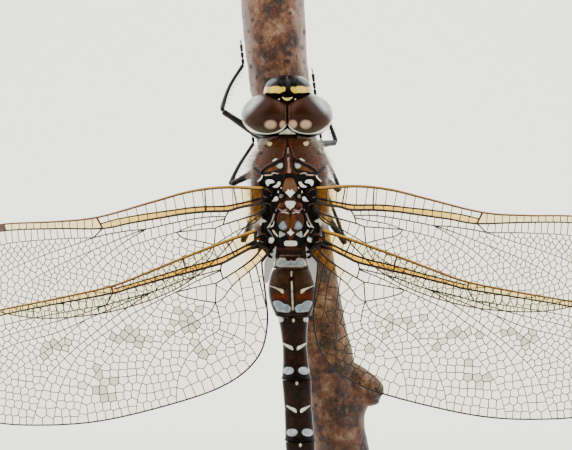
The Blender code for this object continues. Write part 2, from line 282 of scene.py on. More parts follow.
# %% Floor, backdrop and lamps
def make_stage():
    """Floor to wall in one sweep: flat, a quarter circle of radius r, then upright."""
    width, front, back, radius, height = 3.2, -1.6, 1.35, 0.70, 1.3
    turn = np.linspace(0, math.pi / 2, 40)
    profile = np.concatenate([[[front, 0.0]],
                              np.stack([back - radius + radius * np.sin(turn),
                                        radius - radius * np.cos(turn)], 1), [[back, height]]])
    sides = np.array([-width, width]) / 2
    points = np.stack([np.broadcast_to(sides[None, :], (len(profile), 2)),
                       np.broadcast_to(profile[:, :1], (len(profile), 2)),
                       np.broadcast_to(profile[:, 1:], (len(profile), 2))], -1).reshape(-1, 3)
    row = np.arange(len(profile) - 1)[:, None] * 2
    backdrop = new_mesh("backdrop", points / MM - BODY, [row + np.array([[0, 1, 3, 2]])])
    material, _, _ = new_material("matt_backdrop_paper", "#DEDCD4", 0.9)
    backdrop.data.materials.append(material)


def add_lamp(name, place, target, size, power, colour):
    """A square soft lamp at a body point in millimetres, aimed at another."""
    data = bpy.data.lights.new(name, "AREA")
    data.shape = "RECTANGLE"
    data.size, data.size_y = size
    data.energy = power
    data.color = linear(colour)[:3]
    lamp = bpy.data.objects.new(name, data)
    lamp.location = world(place)
    aim = mathutils.Vector(world(target) - world(place))
    lamp.rotation_euler = aim.to_track_quat("-Z", "Y").to_euler()
    bpy.context.scene.collection.objects.link(lamp)


make_stage()
add_lamp("sky_lamp", (-60, 120, 420), (0, 0, 0), (0.50, 0.40), 0.5, "#F4F8FF")
add_lamp("wall_lamp", (0, 500, 900), (0, 1350, 520), (1.2, 0.5), 26.0, "#FFFFFF")

# %% [markdown]
# The rest of the light is the room: brightest above the insect on either side, like two tall windows,
# and darker in a cone round the viewer. Polished eyes then carry a pale sheen on their outer front
# that fades towards the seam, and black cuticle that faces the viewer stays black.

# %% Room
air = bpy.data.worlds.new("pale_room")
air.use_nodes = True
room = air.node_tree
room_way = add_node(room, "ShaderNodeTexCoord").outputs["Generated"]
to_viewer = add_node(room, "ShaderNodeVectorMath", {0: room_way}, operation="DOT_PRODUCT",
                     in1=(0.0, -1.0, 0.0))
either_side = add_node(room, "ShaderNodeVectorMath", {0: room_way}, operation="ABSOLUTE")
room_axes = add_node(room, "ShaderNodeSeparateXYZ", {0: either_side})
room_height = add_node(room, "ShaderNodeSeparateXYZ", {0: room_way})
window_way = add_node(room, "ShaderNodeCombineXYZ", {0: room_axes.outputs["X"], 1: room_height.outputs["Y"],
                                                     2: room_height.outputs["Z"]})
to_sky = add_node(room, "ShaderNodeVectorMath", {0: window_way}, operation="DOT_PRODUCT",
                  in1=(0.78, 0.10, 0.617))
aside = fit(room, to_viewer.outputs["Value"], 0.97, 0.30, 0.10, 0.32, interpolation_type="SMOOTHSTEP")
sky = fit(room, to_sky.outputs["Value"], 0.48, 1.0, 0.0, 4.6, interpolation_type="SMOOTHERSTEP")
glow = add_node(room, "ShaderNodeMath", {0: aside, 1: sky}, operation="ADD")
room.nodes["Background"].inputs["Color"].default_value = linear("#F0F4F6")
room.links.new(glow.outputs[0], room.nodes["Background"].inputs["Strength"])
bpy.context.scene.world = air

# %% [markdown]
# ## Wings
# A dragonfly's wing is a net of tubes, the veins, with a film a few hundredths of a millimetre thick
# stretched in every mesh of the net. The long veins are drawn here as smooth lines through a few
# points, measured out and up from the hinge. The cells between them follow a rule: each field
# between two long veins is filled with rows of seeds, and every point of the film belongs to its
# nearest seed. The borders of those areas (a Voronoi diagram) are the cross-veins: single rungs
# where a field is narrow, six-sided cells where it is wide.

# %% Lines in the plane
def smooth_line(points, step=0.25):
    """A curve through the points (Catmull-Rom: each span is a cubic whose slope at a point is half
    the step between its neighbours), then points at even distances along it."""
    points = np.asarray(points, float)
    padded = np.vstack([2 * points[0] - points[1], points, 2 * points[-1] - points[-2]])
    share = np.linspace(0, 1, 12, endpoint=False)[:, None, None]
    before, here, after, beyond = (padded[i:len(padded) - 3 + i][None] for i in range(4))
    curve = (here + share * (after - before) / 2
             + share ** 2 * (before - 2.5 * here + 2 * after - beyond / 2)
             + share ** 3 * (1.5 * (here - after) + (beyond - before) / 2))
    curve = np.vstack([curve.transpose(1, 0, 2).reshape(-1, points.shape[1]), points[-1:]])
    return even_line(curve, step)


def even_line(curve, step):
    """The same line with its points at even distances, about one step apart."""
    length = np.concatenate([[0], np.cumsum(np.linalg.norm(np.diff(curve, axis=0), axis=1))])
    marks = np.linspace(0, length[-1], max(2, int(round(length[-1] / step)) + 1))
    return np.stack([np.interp(marks, length, curve[:, axis]) for axis in range(curve.shape[1])], 1)


def nearest_on_line(points, line):
    """Distance from each point to each segment of a line, and the foot points."""
    start, run = line[:-1], np.diff(line, axis=0)
    share = ((points[:, None] - start) * run).sum(-1) / np.maximum((run ** 2).sum(-1), 1e-12)
    feet = start + np.clip(share, 0, 1)[..., None] * run
    return np.linalg.norm(points[:, None] - feet, axis=-1), feet


# %% [markdown]
# Long veins by their usual letters: C the leading edge, Sc and R behind it, RP with its branches and
# the intercalated IR2, MA, MP, CuA and the anal veins, with the trailing margin as M. The nodus is the
# notch halfway out, the arculus the short bar near the base, and "tri" the three sides of the
# triangle. A vein's numbers after its points are its half thickness at root and end.

# %% Forewing lines
FORE = dict(hinge=(2.70, -3.10, 3.00), droop=30.0)
FORE["veins"] = {
    "C": ([(-.20, .50), (4.0, .70), (8.0, .35), (12.5, -.62), (18.9, -2.0), (24, -2.36), (30.2, -2.52),
           (35, -3.3), (37.8, -4.7), (38.6, -6.0)], .17, .055),
    "M": ([(38.6, -6.0), (37.8, -7.7), (35, -9.7), (31, -11.3), (26, -12), (20, -11.7), (15, -10.8),
           (10, -9.2), (6.5, -7.3), (4, -5.2), (1.9, -3.3), (-.3, -1.7)], .045, .06),
    "Sc": ([(-.1, -.45), (2.73, -.94), (4.25, -1.13), (7.4, -1.17), (10.5, -1.47), (13.2, -1.75),
            (16.5, -2.2), (18.55, -2.65)], .11, .06),
    "R": ([(-.17, -.86), (2.54, -1.3), (3.65, -1.58), (6.17, -1.62), (8.83, -1.8), (11.3, -2.12),
           (15.06, -2.62), (18.3, -3.1), (24, -3.05), (30.2, -3.2), (34.6, -4.05), (37.2, -5.2),
           (38.5, -6.1)], .14, .05),
    "MC": ([(-.56, -1.26), (.34, -1.89), (1.95, -2.33), (4.27, -2.91), (5.18, -3.24)], .11, .06),
    "A": ([(-.1, -2.0), (.56, -2.7), (2.77, -3.57), (3.68, -4.04), (5.27, -4.85)], .07, .045),
    "RP": ([(4.01, -2.15), (6.18, -2.15), (8.84, -2.47), (11.63, -2.95), (13.18, -3.22), (15.06, -3.35),
            (17.5, -3.65), (19.5, -4.0)], .06, .055),
    "RP1": ([(19.5, -4.0), (24, -4.1), (30.2, -4.55), (34.5, -5.9), (36.9, -8.4)], .05, .035),
    "RP2": ([(19.5, -4.0), (22, -4.75), (26, -5.9), (30, -7.4), (33.6, -10.3)], .05, .035),
    "IR2": ([(13.18, -3.22), (15.07, -3.75), (19, -5.1), (24, -6.9), (28.2, -9.0), (30.6, -11.45)],
            .055, .035),
    "RP3": ([(13.18, -3.22), (16, -4.65), (19, -6.6), (21.4, -9.0), (22.8, -12.0)], .055, .035),
    "MA": ([(4.11, -2.35), (5.78, -2.66), (7.82, -3.0), (9.58, -3.58), (11.33, -3.95), (13.31, -4.45),
            (15.09, -4.98), (17.6, -6.5), (19.5, -8.7), (20.7, -11.85)], .06, .035),
    "MP": ([(5.27, -4.85), (6.6, -6.0), (8.2, -6.95), (10.2, -7.9), (12.0, -9.0), (13.3, -10.35)],
           .055, .035),
    "CuA": ([(5.27, -4.85), (5.7, -5.9), (6.9, -7.1), (8.3, -8.35)], .05, .035),
    "Rspl": ([(19.6, -5.3), (22.2, -7.2), (24.8, -9.4), (26.3, -12.0)], .04, .03),
    "Mspl": ([(10.6, -3.8), (12.4, -5.8), (14.7, -7.5), (16.6, -9.3), (17.5, -11.35)], .04, .03),
    "arculus": ([(3.65, -1.58), (4.05, -2.2), (4.27, -2.91)], .07, .06),
    "nodus": ([(18.9, -2.0), (18.3, -3.1)], .10, .08),
    "subnodus": ([(18.3, -3.1), (19.5, -4.0)], .07, .06),
    "stigma_in": ([(30.1, -2.55), (29.9, -3.25)], .06, .06),
    "stigma_out": ([(33.2, -2.75), (33.4, -3.55)], .06, .06),
    "tri_front": ([(5.18, -3.24), (7, -3.35), (9.58, -3.58)], .055, .055),
    "tri_side": ([(5.18, -3.24), (5.27, -4.85)], .055, .055),
    "tri_rear": ([(5.27, -4.85), (7.0, -4.5), (8.87, -4.15), (9.58, -3.58)], .055, .055),
    "root": ([(-.2, .5), (-.1, -.45), (-.17, -.86), (-.56, -1.26), (-.1, -2.0), (-.3, -1.7)], .12, .10),
}

# %% Hindwing lines
HIND = dict(hinge=(3.10, -3.10, -1.30), droop=12.0)
HIND["veins"] = {
    "C": ([(.1, .75), (3.2, -.28), (7.6, -1.9), (11, -3.2), (14.5, -4.45), (20, -5.6), (25.4, -6.6),
           (30, -7.6), (34, -8.9), (36.3, -10.4), (36.9, -11.8)], .17, .055),
    "M": ([(36.9, -11.8), (36, -13.6), (33.4, -15.6), (30, -16.9), (25.4, -17.8), (20.6, -17.9),
           (16.5, -17.6), (12.3, -16.8), (7, -15.4), (3.7, -14.2), (1.3, -12.7), (-.3, -10.7), (-.9, -8.0),
           (-.75, -5.5), (-.5, -3.3), (-.45, -2.2)], .045, .08),
    "Sc": ([(.2, -.2), (2.8, -1.47), (4.7, -2.13), (7.4, -2.8), (9.65, -3.46), (12.7, -4.3),
            (14.3, -4.72)], .11, .06),
    "R": ([(-.1, -.5), (2.6, -1.9), (3.5, -2.33), (6, -2.98), (9.12, -3.73), (12.7, -4.67), (14.4, -5.12),
           (20, -6.1), (25.1, -7.05), (30, -8.2), (34, -9.6), (36, -11.1), (36.8, -11.95)], .14, .05),
    "MC": ([(-.56, -.73), (.24, -1.75), (1.6, -2.77), (3.36, -3.83), (4.1, -4.25)], .12, .06),
    "A": ([(-1.16, -1.26), (-.36, -2.1), (.79, -3.12), (1.8, -3.89), (2.6, -4.65), (3.55, -5.85),
           (4.17, -6.12)], .08, .05),
    "RP": ([(3.65, -2.95), (6.95, -3.8), (9.3, -4.64), (10.57, -5.06), (12.9, -5.65), (15.15, -6.27)],
           .06, .055),
    "RP1": ([(15.15, -6.27), (21.2, -7.25), (25.1, -8.05), (30, -9.35), (33.4, -11.2), (35.4, -14.1)],
            .05, .035),
    "RP2": ([(15.15, -6.27), (17.5, -7.1), (21, -8.05), (25.1, -9.15), (30, -11.2), (33.0, -15.8)],
            .05, .035),
    "IR2": ([(10.57, -5.06), (15.9, -7.15), (20.2, -8.94), (25.1, -10.3), (28.6, -12.8), (30.5, -16.7)],
            .055, .035),
    "RP3": ([(10.57, -5.06), (13.5, -6.9), (16.6, -9.17), (19.2, -11.3), (21.2, -13.5), (22.8, -17.9)],
            .055, .035),
    "MA": ([(3.65, -3.05), (5.94, -3.99), (8.08, -5.08), (9.3, -5.62), (12.75, -7.3), (14, -8.2),
            (17.1, -10.3), (18.6, -12.1), (19.9, -14.6), (20.6, -17.9)], .06, .035),
    "MP": ([(4.17, -6.12), (4.83, -7.11), (6.66, -8.14), (7.87, -8.76), (9.4, -9.97), (10.9, -12.2),
            (11.9, -14.6), (12.3, -16.8)], .055, .035),
    "CuA": ([(4.17, -6.12), (3.86, -7.2), (3.84, -8.68), (5.54, -9.8), (7.2, -11.6), (8.0, -13.6),
             (8.2, -15.8)], .055, .035),
    "CuB": ([(3.84, -8.68), (1.8, -9.62), (.55, -10.7), (.2, -11.5)], .05, .035),
    "A1": ([(.12, -2.6), (-.3, -4.6), (-.8, -6.6)], .07, .05),
    "A2": ([(.79, -3.12), (.45, -4.9), (0, -7.4), (-.75, -9.2)], .06, .035),
    "A3": ([(1.75, -3.87), (1.5, -5.5), (1.2, -7.63), (1.35, -9.8)], .05, .035),
    "Rspl": ([(17.3, -7.75), (20.6, -10.3), (24.0, -12.4), (26.8, -14.8), (28.0, -17.35)], .04, .03),
    "Mspl": ([(9.3, -5.62), (11.0, -7.6), (13.3, -9.6), (15.4, -11.9), (17.3, -14.6), (18.2, -17.75)],
             .04, .03),
    "arculus": ([(3.5, -2.33), (3.65, -3.0), (3.4, -3.85)], .07, .06),
    "nodus": ([(14.5, -4.45), (14.4, -5.12)], .10, .08),
    "subnodus": ([(14.4, -5.12), (15.15, -6.27)], .07, .06),
    "stigma_in": ([(28.9, -7.35), (28.7, -7.9)], .06, .06),
    "stigma_out": ([(31.8, -8.15), (32.0, -8.9)], .06, .06),
    "tri_front": ([(4.1, -4.25), (6, -4.6), (8.08, -5.08)], .055, .055),
    "tri_side": ([(4.1, -4.25), (4.17, -6.12)], .06, .055),
    "tri_rear": ([(4.17, -6.12), (6.2, -5.8), (7.6, -5.45), (8.08, -5.08)], .055, .055),
    "root": ([(.1, .75), (.2, -.2), (-.1, -.5), (-.56, -.73), (-1.16, -1.26), (-.45, -2.2)], .14, .12),
}

# %% [markdown]
# A field is the area between a front line and a rear line. Each row below gives the bar it starts at,
# the front veins, the bar it ends at, the rear veins, the distance between cross-veins and the height
# of a row of cells. A field with no row height is a single ladder.

# %% Fields of cells
COMMON_FIELDS = [
    ("root", "C", "nodus", "Sc", 1.10, None), ("root", "Sc", "nodus", "R", 1.10, None),
    ("nodus", "C", "stigma_in", "R", .85, None), ("stigma_out", "C", None, "R", .80, None),
    ("arculus", "R", "subnodus", "RP", .95, None), ("subnodus", "R", "M", "RP1", .78, 1.10),
    ("arculus", "RP RP3", "M", "MA", .85, .95), (None, "RP RP2", "M", "IR2", .80, .80),
    (None, "RP1", "M", "RP2", .72, .62), (None, "IR2", "M", "Rspl", .72, .70),
    (None, "IR2 Rspl", "M", "RP3", .78, .78), (None, "MA", "M", "Mspl", .76, .74),
    ("tri_rear", "MA Mspl", "M", "MP", .86, .86), (None, "MP", "M", "CuA", .85, .80),
    ("arculus", "MA", None, "MC tri_front", 1.30, None),
    ("tri_side", "tri_front", None, "tri_rear", 1.1, None),
    ("root", "MC", "tri_side", "A", 1.0, None),
]
FORE["fields"] = COMMON_FIELDS + [("root", "A CuA", None, "M", .95, .95)]
HIND["fields"] = COMMON_FIELDS + [
    (None, "CuA", "M", "CuB", 1.0, .95), ("A", "A1", None, "M", 1.3, None),
    ("A", "A1 M", None, "A2", 1.25, .9),
    ("A", "A2 M", "CuB", "A3", 1.15, 1.0), ("A", "A3", "CuB", "CuA", 1.05, 1.0),
]
print(len(FORE["veins"]), "long veins and bars in a forewing,", len(HIND["veins"]), "in a hindwing")

# %% [markdown]
# The sides of a field are stretches of the long veins between the places where they meet. Its cells
# come from cutting: a seed's cell is the whole field, less everything that lies nearer to another
# seed. Moving each seed to the middle of its cell and cutting again evens the cells out, as growth
# does in the living wing.

# %% Fields and cells
def place_on(line, point):
    """The place on a line nearest to a point, as a vertex number with a fraction."""
    gaps, feet = nearest_on_line(point[None], line)
    index = int(gaps[0].argmin())
    run = np.linalg.norm(line[index + 1] - line[index])
    return index + float(np.linalg.norm(feet[0, index] - line[index]) / max(run, 1e-9)), feet[0, index]


def stretch(line, start, end):
    """The part of a line between the places nearest to two points, in that order."""
    (first, start_foot), (last, end_foot) = place_on(line, start), place_on(line, end)
    low, high = sorted((first, last))
    inner = line[int(math.floor(low)) + 1:int(math.ceil(high))]
    return np.vstack([start_foot, inner if first <= last else inner[::-1], end_foot])


def meeting(line, other):
    """The point where two lines come closest."""
    choices = []
    for points, target in ((line, other), (other, line)):
        gaps, feet = nearest_on_line(points, target)
        row, column = np.unravel_index(gaps.argmin(), gaps.shape)
        choices.append((gaps[row, column], tuple(feet[row, column])))
    return np.array(min(choices)[1])


def field_sides(lines, start, front, end, rear):
    """The outline of a field, and its front and rear lines, both running outward."""
    names = [start, *front.split(), end, *reversed(rear.split())]
    names = [name for name in names if name]
    corners = [meeting(lines[a], lines[b]) for a, b in zip(names, names[1:] + names[:1])]
    sides = {name: stretch(lines[name], corners[i - 1], corners[i]) for i, name in enumerate(names)}
    outline = np.vstack([sides[name][:-1] for name in names])
    front_line = np.vstack([sides[name] for name in front.split()])
    rear_line = np.vstack([sides[name][::-1] for name in rear.split()])
    return outline, front_line, rear_line


def share_point(line, shares):
    """Points at given shares of a line's length."""
    length = np.concatenate([[0], np.cumsum(np.linalg.norm(np.diff(line, axis=0), axis=1))])
    return np.stack([np.interp(shares * length[-1], length, line[:, axis]) for axis in (0, 1)], 1)


def sow(front, rear, pitch, height):
    """Seeds in columns a pitch apart; each column has as many rows as its width holds."""
    span = np.linalg.norm(np.diff(front, axis=0), axis=1).sum() / 2
    span += np.linalg.norm(np.diff(rear, axis=0), axis=1).sum() / 2
    columns = max(1, round(span / pitch))
    shares = (np.arange(columns) + 0.5) / columns
    tops, bottoms = share_point(front, shares), share_point(rear, shares)
    widths = np.linalg.norm(tops - bottoms, axis=1)
    rows = np.ones(columns, int) if height is None else np.maximum(1, np.round(widths / height).astype(int))
    column = np.repeat(np.arange(columns), rows)
    row = np.concatenate([np.arange(count) for count in rows])
    stagger = np.where(rows[column] > 1, 0.22 * (column % 2 * 2 - 1), 0.0)
    down = ((row + 0.5 + stagger) / rows[column])[:, None]
    seeds = tops[column] * (1 - down) + bottoms[column] * down
    return seeds + rng.normal(0, 0.07 * pitch, seeds.shape)


def cut_cell(cell, marks, middle, normal, mark):
    """Cuts a polygon along a line and keeps the part behind it. The new edge gets the mark."""
    side = (cell - middle) @ normal
    inside = side <= 0
    ahead = np.roll(side, -1)
    crossing = inside != (ahead <= 0)
    if not crossing.any():
        return cell, marks
    share = (side[crossing] / (side[crossing] - ahead[crossing]))[:, None]
    crossed = cell[crossing] + share * (np.roll(cell, -1, 0)[crossing] - cell[crossing])
    order = np.concatenate([np.flatnonzero(inside), np.flatnonzero(crossing) + 0.5]).argsort()
    new_marks = np.where(inside[crossing], mark, marks[crossing])
    return np.vstack([cell[inside], crossed])[order], np.concatenate([marks[inside], new_marks])[order]


def cut_field(outline, seeds):
    """One cell for each seed, by cutting halfway to each of the other seeds, nearest first."""
    cells = []
    for index, seed in enumerate(seeds):
        cell, marks = outline, np.full(len(outline), -1)
        gaps = np.linalg.norm(seeds - seed, axis=1)
        for other in gaps.argsort()[1:]:
            if gaps[other] / 2 > np.linalg.norm(cell - seed, axis=1).max():
                break
            cell, marks = cut_cell(cell, marks, (seed + seeds[other]) / 2, seeds[other] - seed, other)
        cells.append((cell, marks))
    return cells


def middle_of(cell):
    """The centre of a polygon's area."""
    follow = np.roll(cell, -1, 0)
    cross = cell[:, 0] * follow[:, 1] - follow[:, 0] * cell[:, 1]
    total = cross.sum()
    return ((cell + follow) * cross[:, None]).sum(0) / (3 * total) if abs(total) > 1e-9 else cell.mean(0)


def grow_cells(lines, field):
    """The cells of one field after two rounds of evening out, and the cross-veins between them."""
    outline, front, rear = field_sides(lines, *field[:4])
    seeds = sow(front, rear, *field[4:6])
    for _ in range(2):
        seeds = np.array([middle_of(cell) for cell, _ in cut_field(outline, seeds)])
    cells = cut_field(outline, seeds)
    rungs = [np.stack([cell, np.roll(cell, -1, 0)], 1)[marks > index]
             for index, (cell, marks) in enumerate(cells)]
    return [cell for cell, _ in cells], np.concatenate(rungs)


# %% [markdown]
# A wing isn't flat: its long veins lie alternately high and low, like the folds of a fan, which makes
# it stiff. The height of any point is the sum of a soft hump for each high vein and a soft dip for
# each low one, and the folds fade towards the tip.

# %% The folded wing plane
HIGH_VEINS, LOW_VEINS = ("C", "R", "IR2", "MA", "CuA", "A"), ("Sc", "RP1", "RP2", "RP3", "MP", "RP")
WING_SWEEP = math.radians(0.75)
FOLD_WIDTH = 0.9
# Out from the hinge, and the height of the folds there.
FOLD_FADE = ((0, 12, 30), (0.17, 0.12, 0.05))


def fold_height(flat, lines):
    """Height over the wing plane: plus or minus amplitude times exp(-(distance / width) squared)."""
    height = np.zeros(len(flat))
    for names, sign in ((HIGH_VEINS, 1), (LOW_VEINS, -1)):
        for name in names:
            gap = nearest_on_line(flat, lines[name][::2])[0].min(1)
            height += sign * np.exp(-(gap / FOLD_WIDTH) ** 2)
    return height * np.interp(flat[:, 0], *FOLD_FADE)


def on_wing(wing, side, flat, lift):
    """Wing plane to body: turned a little in its plane, then drooped back from the hinge."""
    droop = math.radians(wing["droop"])
    turn = WING_SWEEP * side
    out = flat[:, 0] * math.cos(turn) - flat[:, 1] * math.sin(turn)
    up = flat[:, 0] * math.sin(turn) + flat[:, 1] * math.cos(turn)
    hinge = wing["hinge"]
    return np.stack([side * (hinge[0] + out * math.cos(droop) + lift * math.sin(droop)),
                     hinge[1] + out * math.sin(droop) - lift * math.cos(droop), hinge[2] + up], 1)


# %% Tubes and film
def tube(path, radii, sides):
    """Rings of points round a path, each square to it: centre + radius * unit ring."""
    ahead = unit(np.gradient(path, axis=0))
    guide = np.array([0.0, -1.0, 0.0]) if abs(ahead[:, 1]).max() < 0.9 else np.array([1.0, 0.2, 0.0])
    rings = rings_round(ahead, guide, sides)
    return (path[:, None] + rings * np.reshape(radii, (-1, 1, 1))).reshape(-1, 3)


def prisms(starts, ends, radius, sides=5):
    """Straight five-sided rods, all at once: (rods, 2, sides) points."""
    ahead = ends - starts
    ahead /= np.maximum(np.linalg.norm(ahead, axis=1), 1e-9)[:, None]
    ring = radius * rings_round(ahead, [0.0, -1.0, 0.01], sides)
    points = np.stack([starts[:, None] + ring, ends[:, None] + ring], 1).reshape(-1, 3)
    base = np.arange(len(starts))[:, None, None] * 2 * sides
    caps = np.stack([np.arange(sides)[::-1], np.arange(sides) + sides])
    return points, [(wall_faces(sides) + base).reshape(-1, 4), (caps + base).reshape(-1, sides)]


LONG_VEIN_TONES = {"nodus": 0.55, "R": 0.14, "root": 0.05, "Sc": 0.08, "MC": 0.06, "A": 0.1}
CROSS_VEIN_RADIUS, THICK_BAR_RADIUS = 0.047, 0.075
FILM_THICKNESS = 0.03


def build_veins(name, wing, side, lines, rungs, thick_rungs, film_height):
    """Every tube of one wing in one mesh, with its tone: 0 is black, 1 is orange."""
    points, faces, tones, count = [], [], [], 0
    for vein, (_, root_radius, end_radius) in wing["veins"].items():
        flat = even_line(lines[vein], 0.33)
        share = np.linspace(0, 1, len(flat))
        radii = 1.15 * (root_radius + (end_radius - root_radius) * share ** 0.5)
        sides = 8 if vein in ("C", "R", "Sc", "MC") else 6
        path = on_wing(wing, side, flat, film_height(flat))
        points.append(tube(path, radii, sides))
        faces += ring_faces(len(flat), sides, count)
        tone = np.full((len(flat), sides), LONG_VEIN_TONES.get(vein, 0.15))
        if vein == "C":
            # The leading edge is golden at its root and browner outward, and black along its rear side.
            rear_side = side * np.cos(circle(sides)) > 0.5
            tone[:] = np.where(rear_side, 0.05, np.interp(share, [0, 0.25, 1], [1.0, 0.8, 0.62])[:, None])
        tones.append(tone.ravel())
        count += len(points[-1])
    for group, radius, tone in ((rungs, CROSS_VEIN_RADIUS, 0.15), (thick_rungs, THICK_BAR_RADIUS, 0.35)):
        heights = [film_height(group[:, end]) for end in (0, 1)]
        starts, ends = (on_wing(wing, side, group[:, end], heights[end]) for end in (0, 1))
        rods, blocks = prisms(starts, ends, radius)
        points.append(rods)
        faces += [block + count for block in blocks]
        tones.append(np.full(len(rods), tone))
        count += len(rods)
    piece = new_mesh(name, np.vstack(points), faces)
    add_value(piece, "tone", np.concatenate(tones))
    return piece


def build_film(name, wing, side, cells, ambers, clouds, film_height):
    """The film: each cell is a fan of triangles round its middle, with its own tints, and a Solidify
    modifier gives the sheet its two faces."""
    sizes = np.array([len(cell) for cell in cells])
    centres = np.array([middle_of(cell) for cell in cells])
    corners = np.vstack(cells)
    merged, corner_index = np.unique(corners.round(5), axis=0, return_inverse=True)
    flat = np.vstack([merged, centres])
    first = np.concatenate([[0], np.cumsum(sizes)[:-1]])
    owner = np.repeat(np.arange(len(cells)), sizes)
    step = np.arange(len(corners)) - first[owner]
    follow = first[owner] + (step + 1) % sizes[owner]
    corner_index = corner_index.ravel()
    fans = np.stack([corner_index, corner_index[follow], len(merged) + owner], 1)
    kept = fans[:, 0] != fans[:, 1]
    fans, owner = fans[kept], owner[kept]
    edge_a, edge_b = flat[fans[:, 1]] - flat[fans[:, 0]], flat[fans[:, 2]] - flat[fans[:, 0]]
    backward = (edge_a[:, 0] * edge_b[:, 1] - edge_a[:, 1] * edge_b[:, 0]) * side > 0
    fans[backward] = fans[backward][:, ::-1]
    piece = new_mesh(name, on_wing(wing, side, flat, film_height(flat)), [fans], smooth=False)
    add_value(piece, "amber", ambers[owner], "FACE")
    add_value(piece, "cloud", clouds[owner], "FACE")
    wall = piece.modifiers.new("two_faces", "SOLIDIFY")
    wall.thickness = FILM_THICKNESS * MM
    wall.offset = 0.0
    return piece

# %% [markdown]
# Vein cuticle is tanned: black where it is thickest, orange-brown along the leading edge. The film is
# the same cuticle, thin enough to see through: light that passes each of its two faces is tinted, and
# a small share is stopped. It is amber between the two front veins and at the root, and here and there
# a cell carries a painted glint: it is cream and stops more light. Both have the low gloss of horn.

# %% Wing materials
vein_cuticle, tree, shader = new_material("tanned_vein_cuticle", "#2A1810", 0.34, Specular_IOR_Level=0.2)
vein_colours = ramp(tree, attribute(tree, "tone"), [(0.0, "#0A0605"), (0.22, "#1E120A"), (0.42, "#4A2208"),
                                                    (0.6, "#6A3A08"), (0.8, "#8E5C08"), (1.0, "#A87C0A")])
tree.links.new(vein_colours, shader.inputs["Base Color"])

wing_film, tree, shader = new_material("clear_wing_film", "#E9DFB0", 0.24, Specular_IOR_Level=0.35)
amber, cloud = attribute(tree, "amber"), attribute(tree, "cloud")
film_colours = ramp(tree, amber, [(0.0, "#8E8464"), (0.35, "#A07410"), (1.0, "#B87C04")])
# Painted glints: a few cells are cream, and stop more light than the rest.
tree.links.new(overlay(tree, cloud, film_colours, "#F2EBD2"), shader.inputs["Base Color"])
cover = add_node(tree, "ShaderNodeMath", {0: amber}, operation="MULTIPLY_ADD", in1=0.14, in2=0.005)
cover = add_node(tree, "ShaderNodeMath", {0: cloud, 2: cover}, operation="MULTIPLY_ADD", in1=0.55,
                 use_clamp=True)
film_tint = ramp(tree, amber, [(0.0, "#FCFBF6"), (0.35, "#FAEBC0"), (1.0, "#F4D27C")])
passed = add_node(tree, "ShaderNodeBsdfTransparent", {"Color": film_tint})
film_mix = add_node(tree, "ShaderNodeMixShader", {0: cover, 1: passed, 2: shader})
tree.links.new(film_mix.outputs[0], tree.nodes["Material Output"].inputs["Surface"])

stigma_cuticle, tree, shader = new_material("thick_stigma_cuticle", "#5A3218", 0.42, IOR=1.56)
stigma_colours = ramp(tree, noise(tree, 2500.0, 2.0), [(0.3, "#3E2010"), (0.7, "#6E4222")])
tree.links.new(stigma_colours, shader.inputs["Base Color"])

# %% [markdown]
# Two of the rungs in the leading strips are thicker than the others and span both strips in one line:
# they carry the load while the wing bends. The stigma, the dark cell near the tip, is a small
# counterweight, so it is a plate with thickness rather than film.

# %% Building the four wings
AMBER_FIELDS = {("root", "Sc"): (0.95, 20.0), ("root", "MC"): (0.45, 1.7), ("root", "C"): (0.35, 2.4),
                ("root", "R"): (0.30, 1.4), ("nodus", "C"): (0.25, 60.0)}
CLEAR_AMBER = 0.05
# Zones where cells carry a painted glint, cream and less clear: out, up and two radii.
GLINT_ZONES = np.array([(7.3, -8.0, 1.7, 0.9), (12.5, -9.6, 2.0, 0.8), (20.2, -10.3, 1.5, 0.9),
                        (15.6, -13.9, 1.3, 1.0), (5.0, -10.8, 0.9, 0.9)])
FORE.update(thick=(3.05, 6.3), clouds=0.0)
HIND.update(thick=(3.05, 7.5), clouds=0.5)


def thick_bars(lines, places):
    """Straight bars from the leading edge to Sc and on to R, at given distances out."""
    bars = []
    for place in places:
        edge = lines["C"][np.abs(lines["C"][:, 0] - place).argmin()]
        middle = stretch(lines["Sc"], edge, edge)[0]
        rear = stretch(lines["R"], middle, middle)[0]
        bars += [(edge, middle), (middle, rear)]
    return np.array(bars)


def stigma_plate(name, wing, side, lines, film_height):
    """The stigma's outline, at two heights 0.15 mm apart, closed round its edge."""
    outline = field_sides(lines, "stigma_in", "C", "stigma_out", "R")[0]
    outline = outline[::-1] if side > 0 else outline
    lift = film_height(outline)
    rings = [on_wing(wing, side, outline, lift + height) for height in (-0.075, 0.075)]
    piece = new_mesh(name, np.vstack(rings), ring_faces(2, len(outline)), smooth=False)
    return finish_piece(piece, stigma_cuticle, "wing")


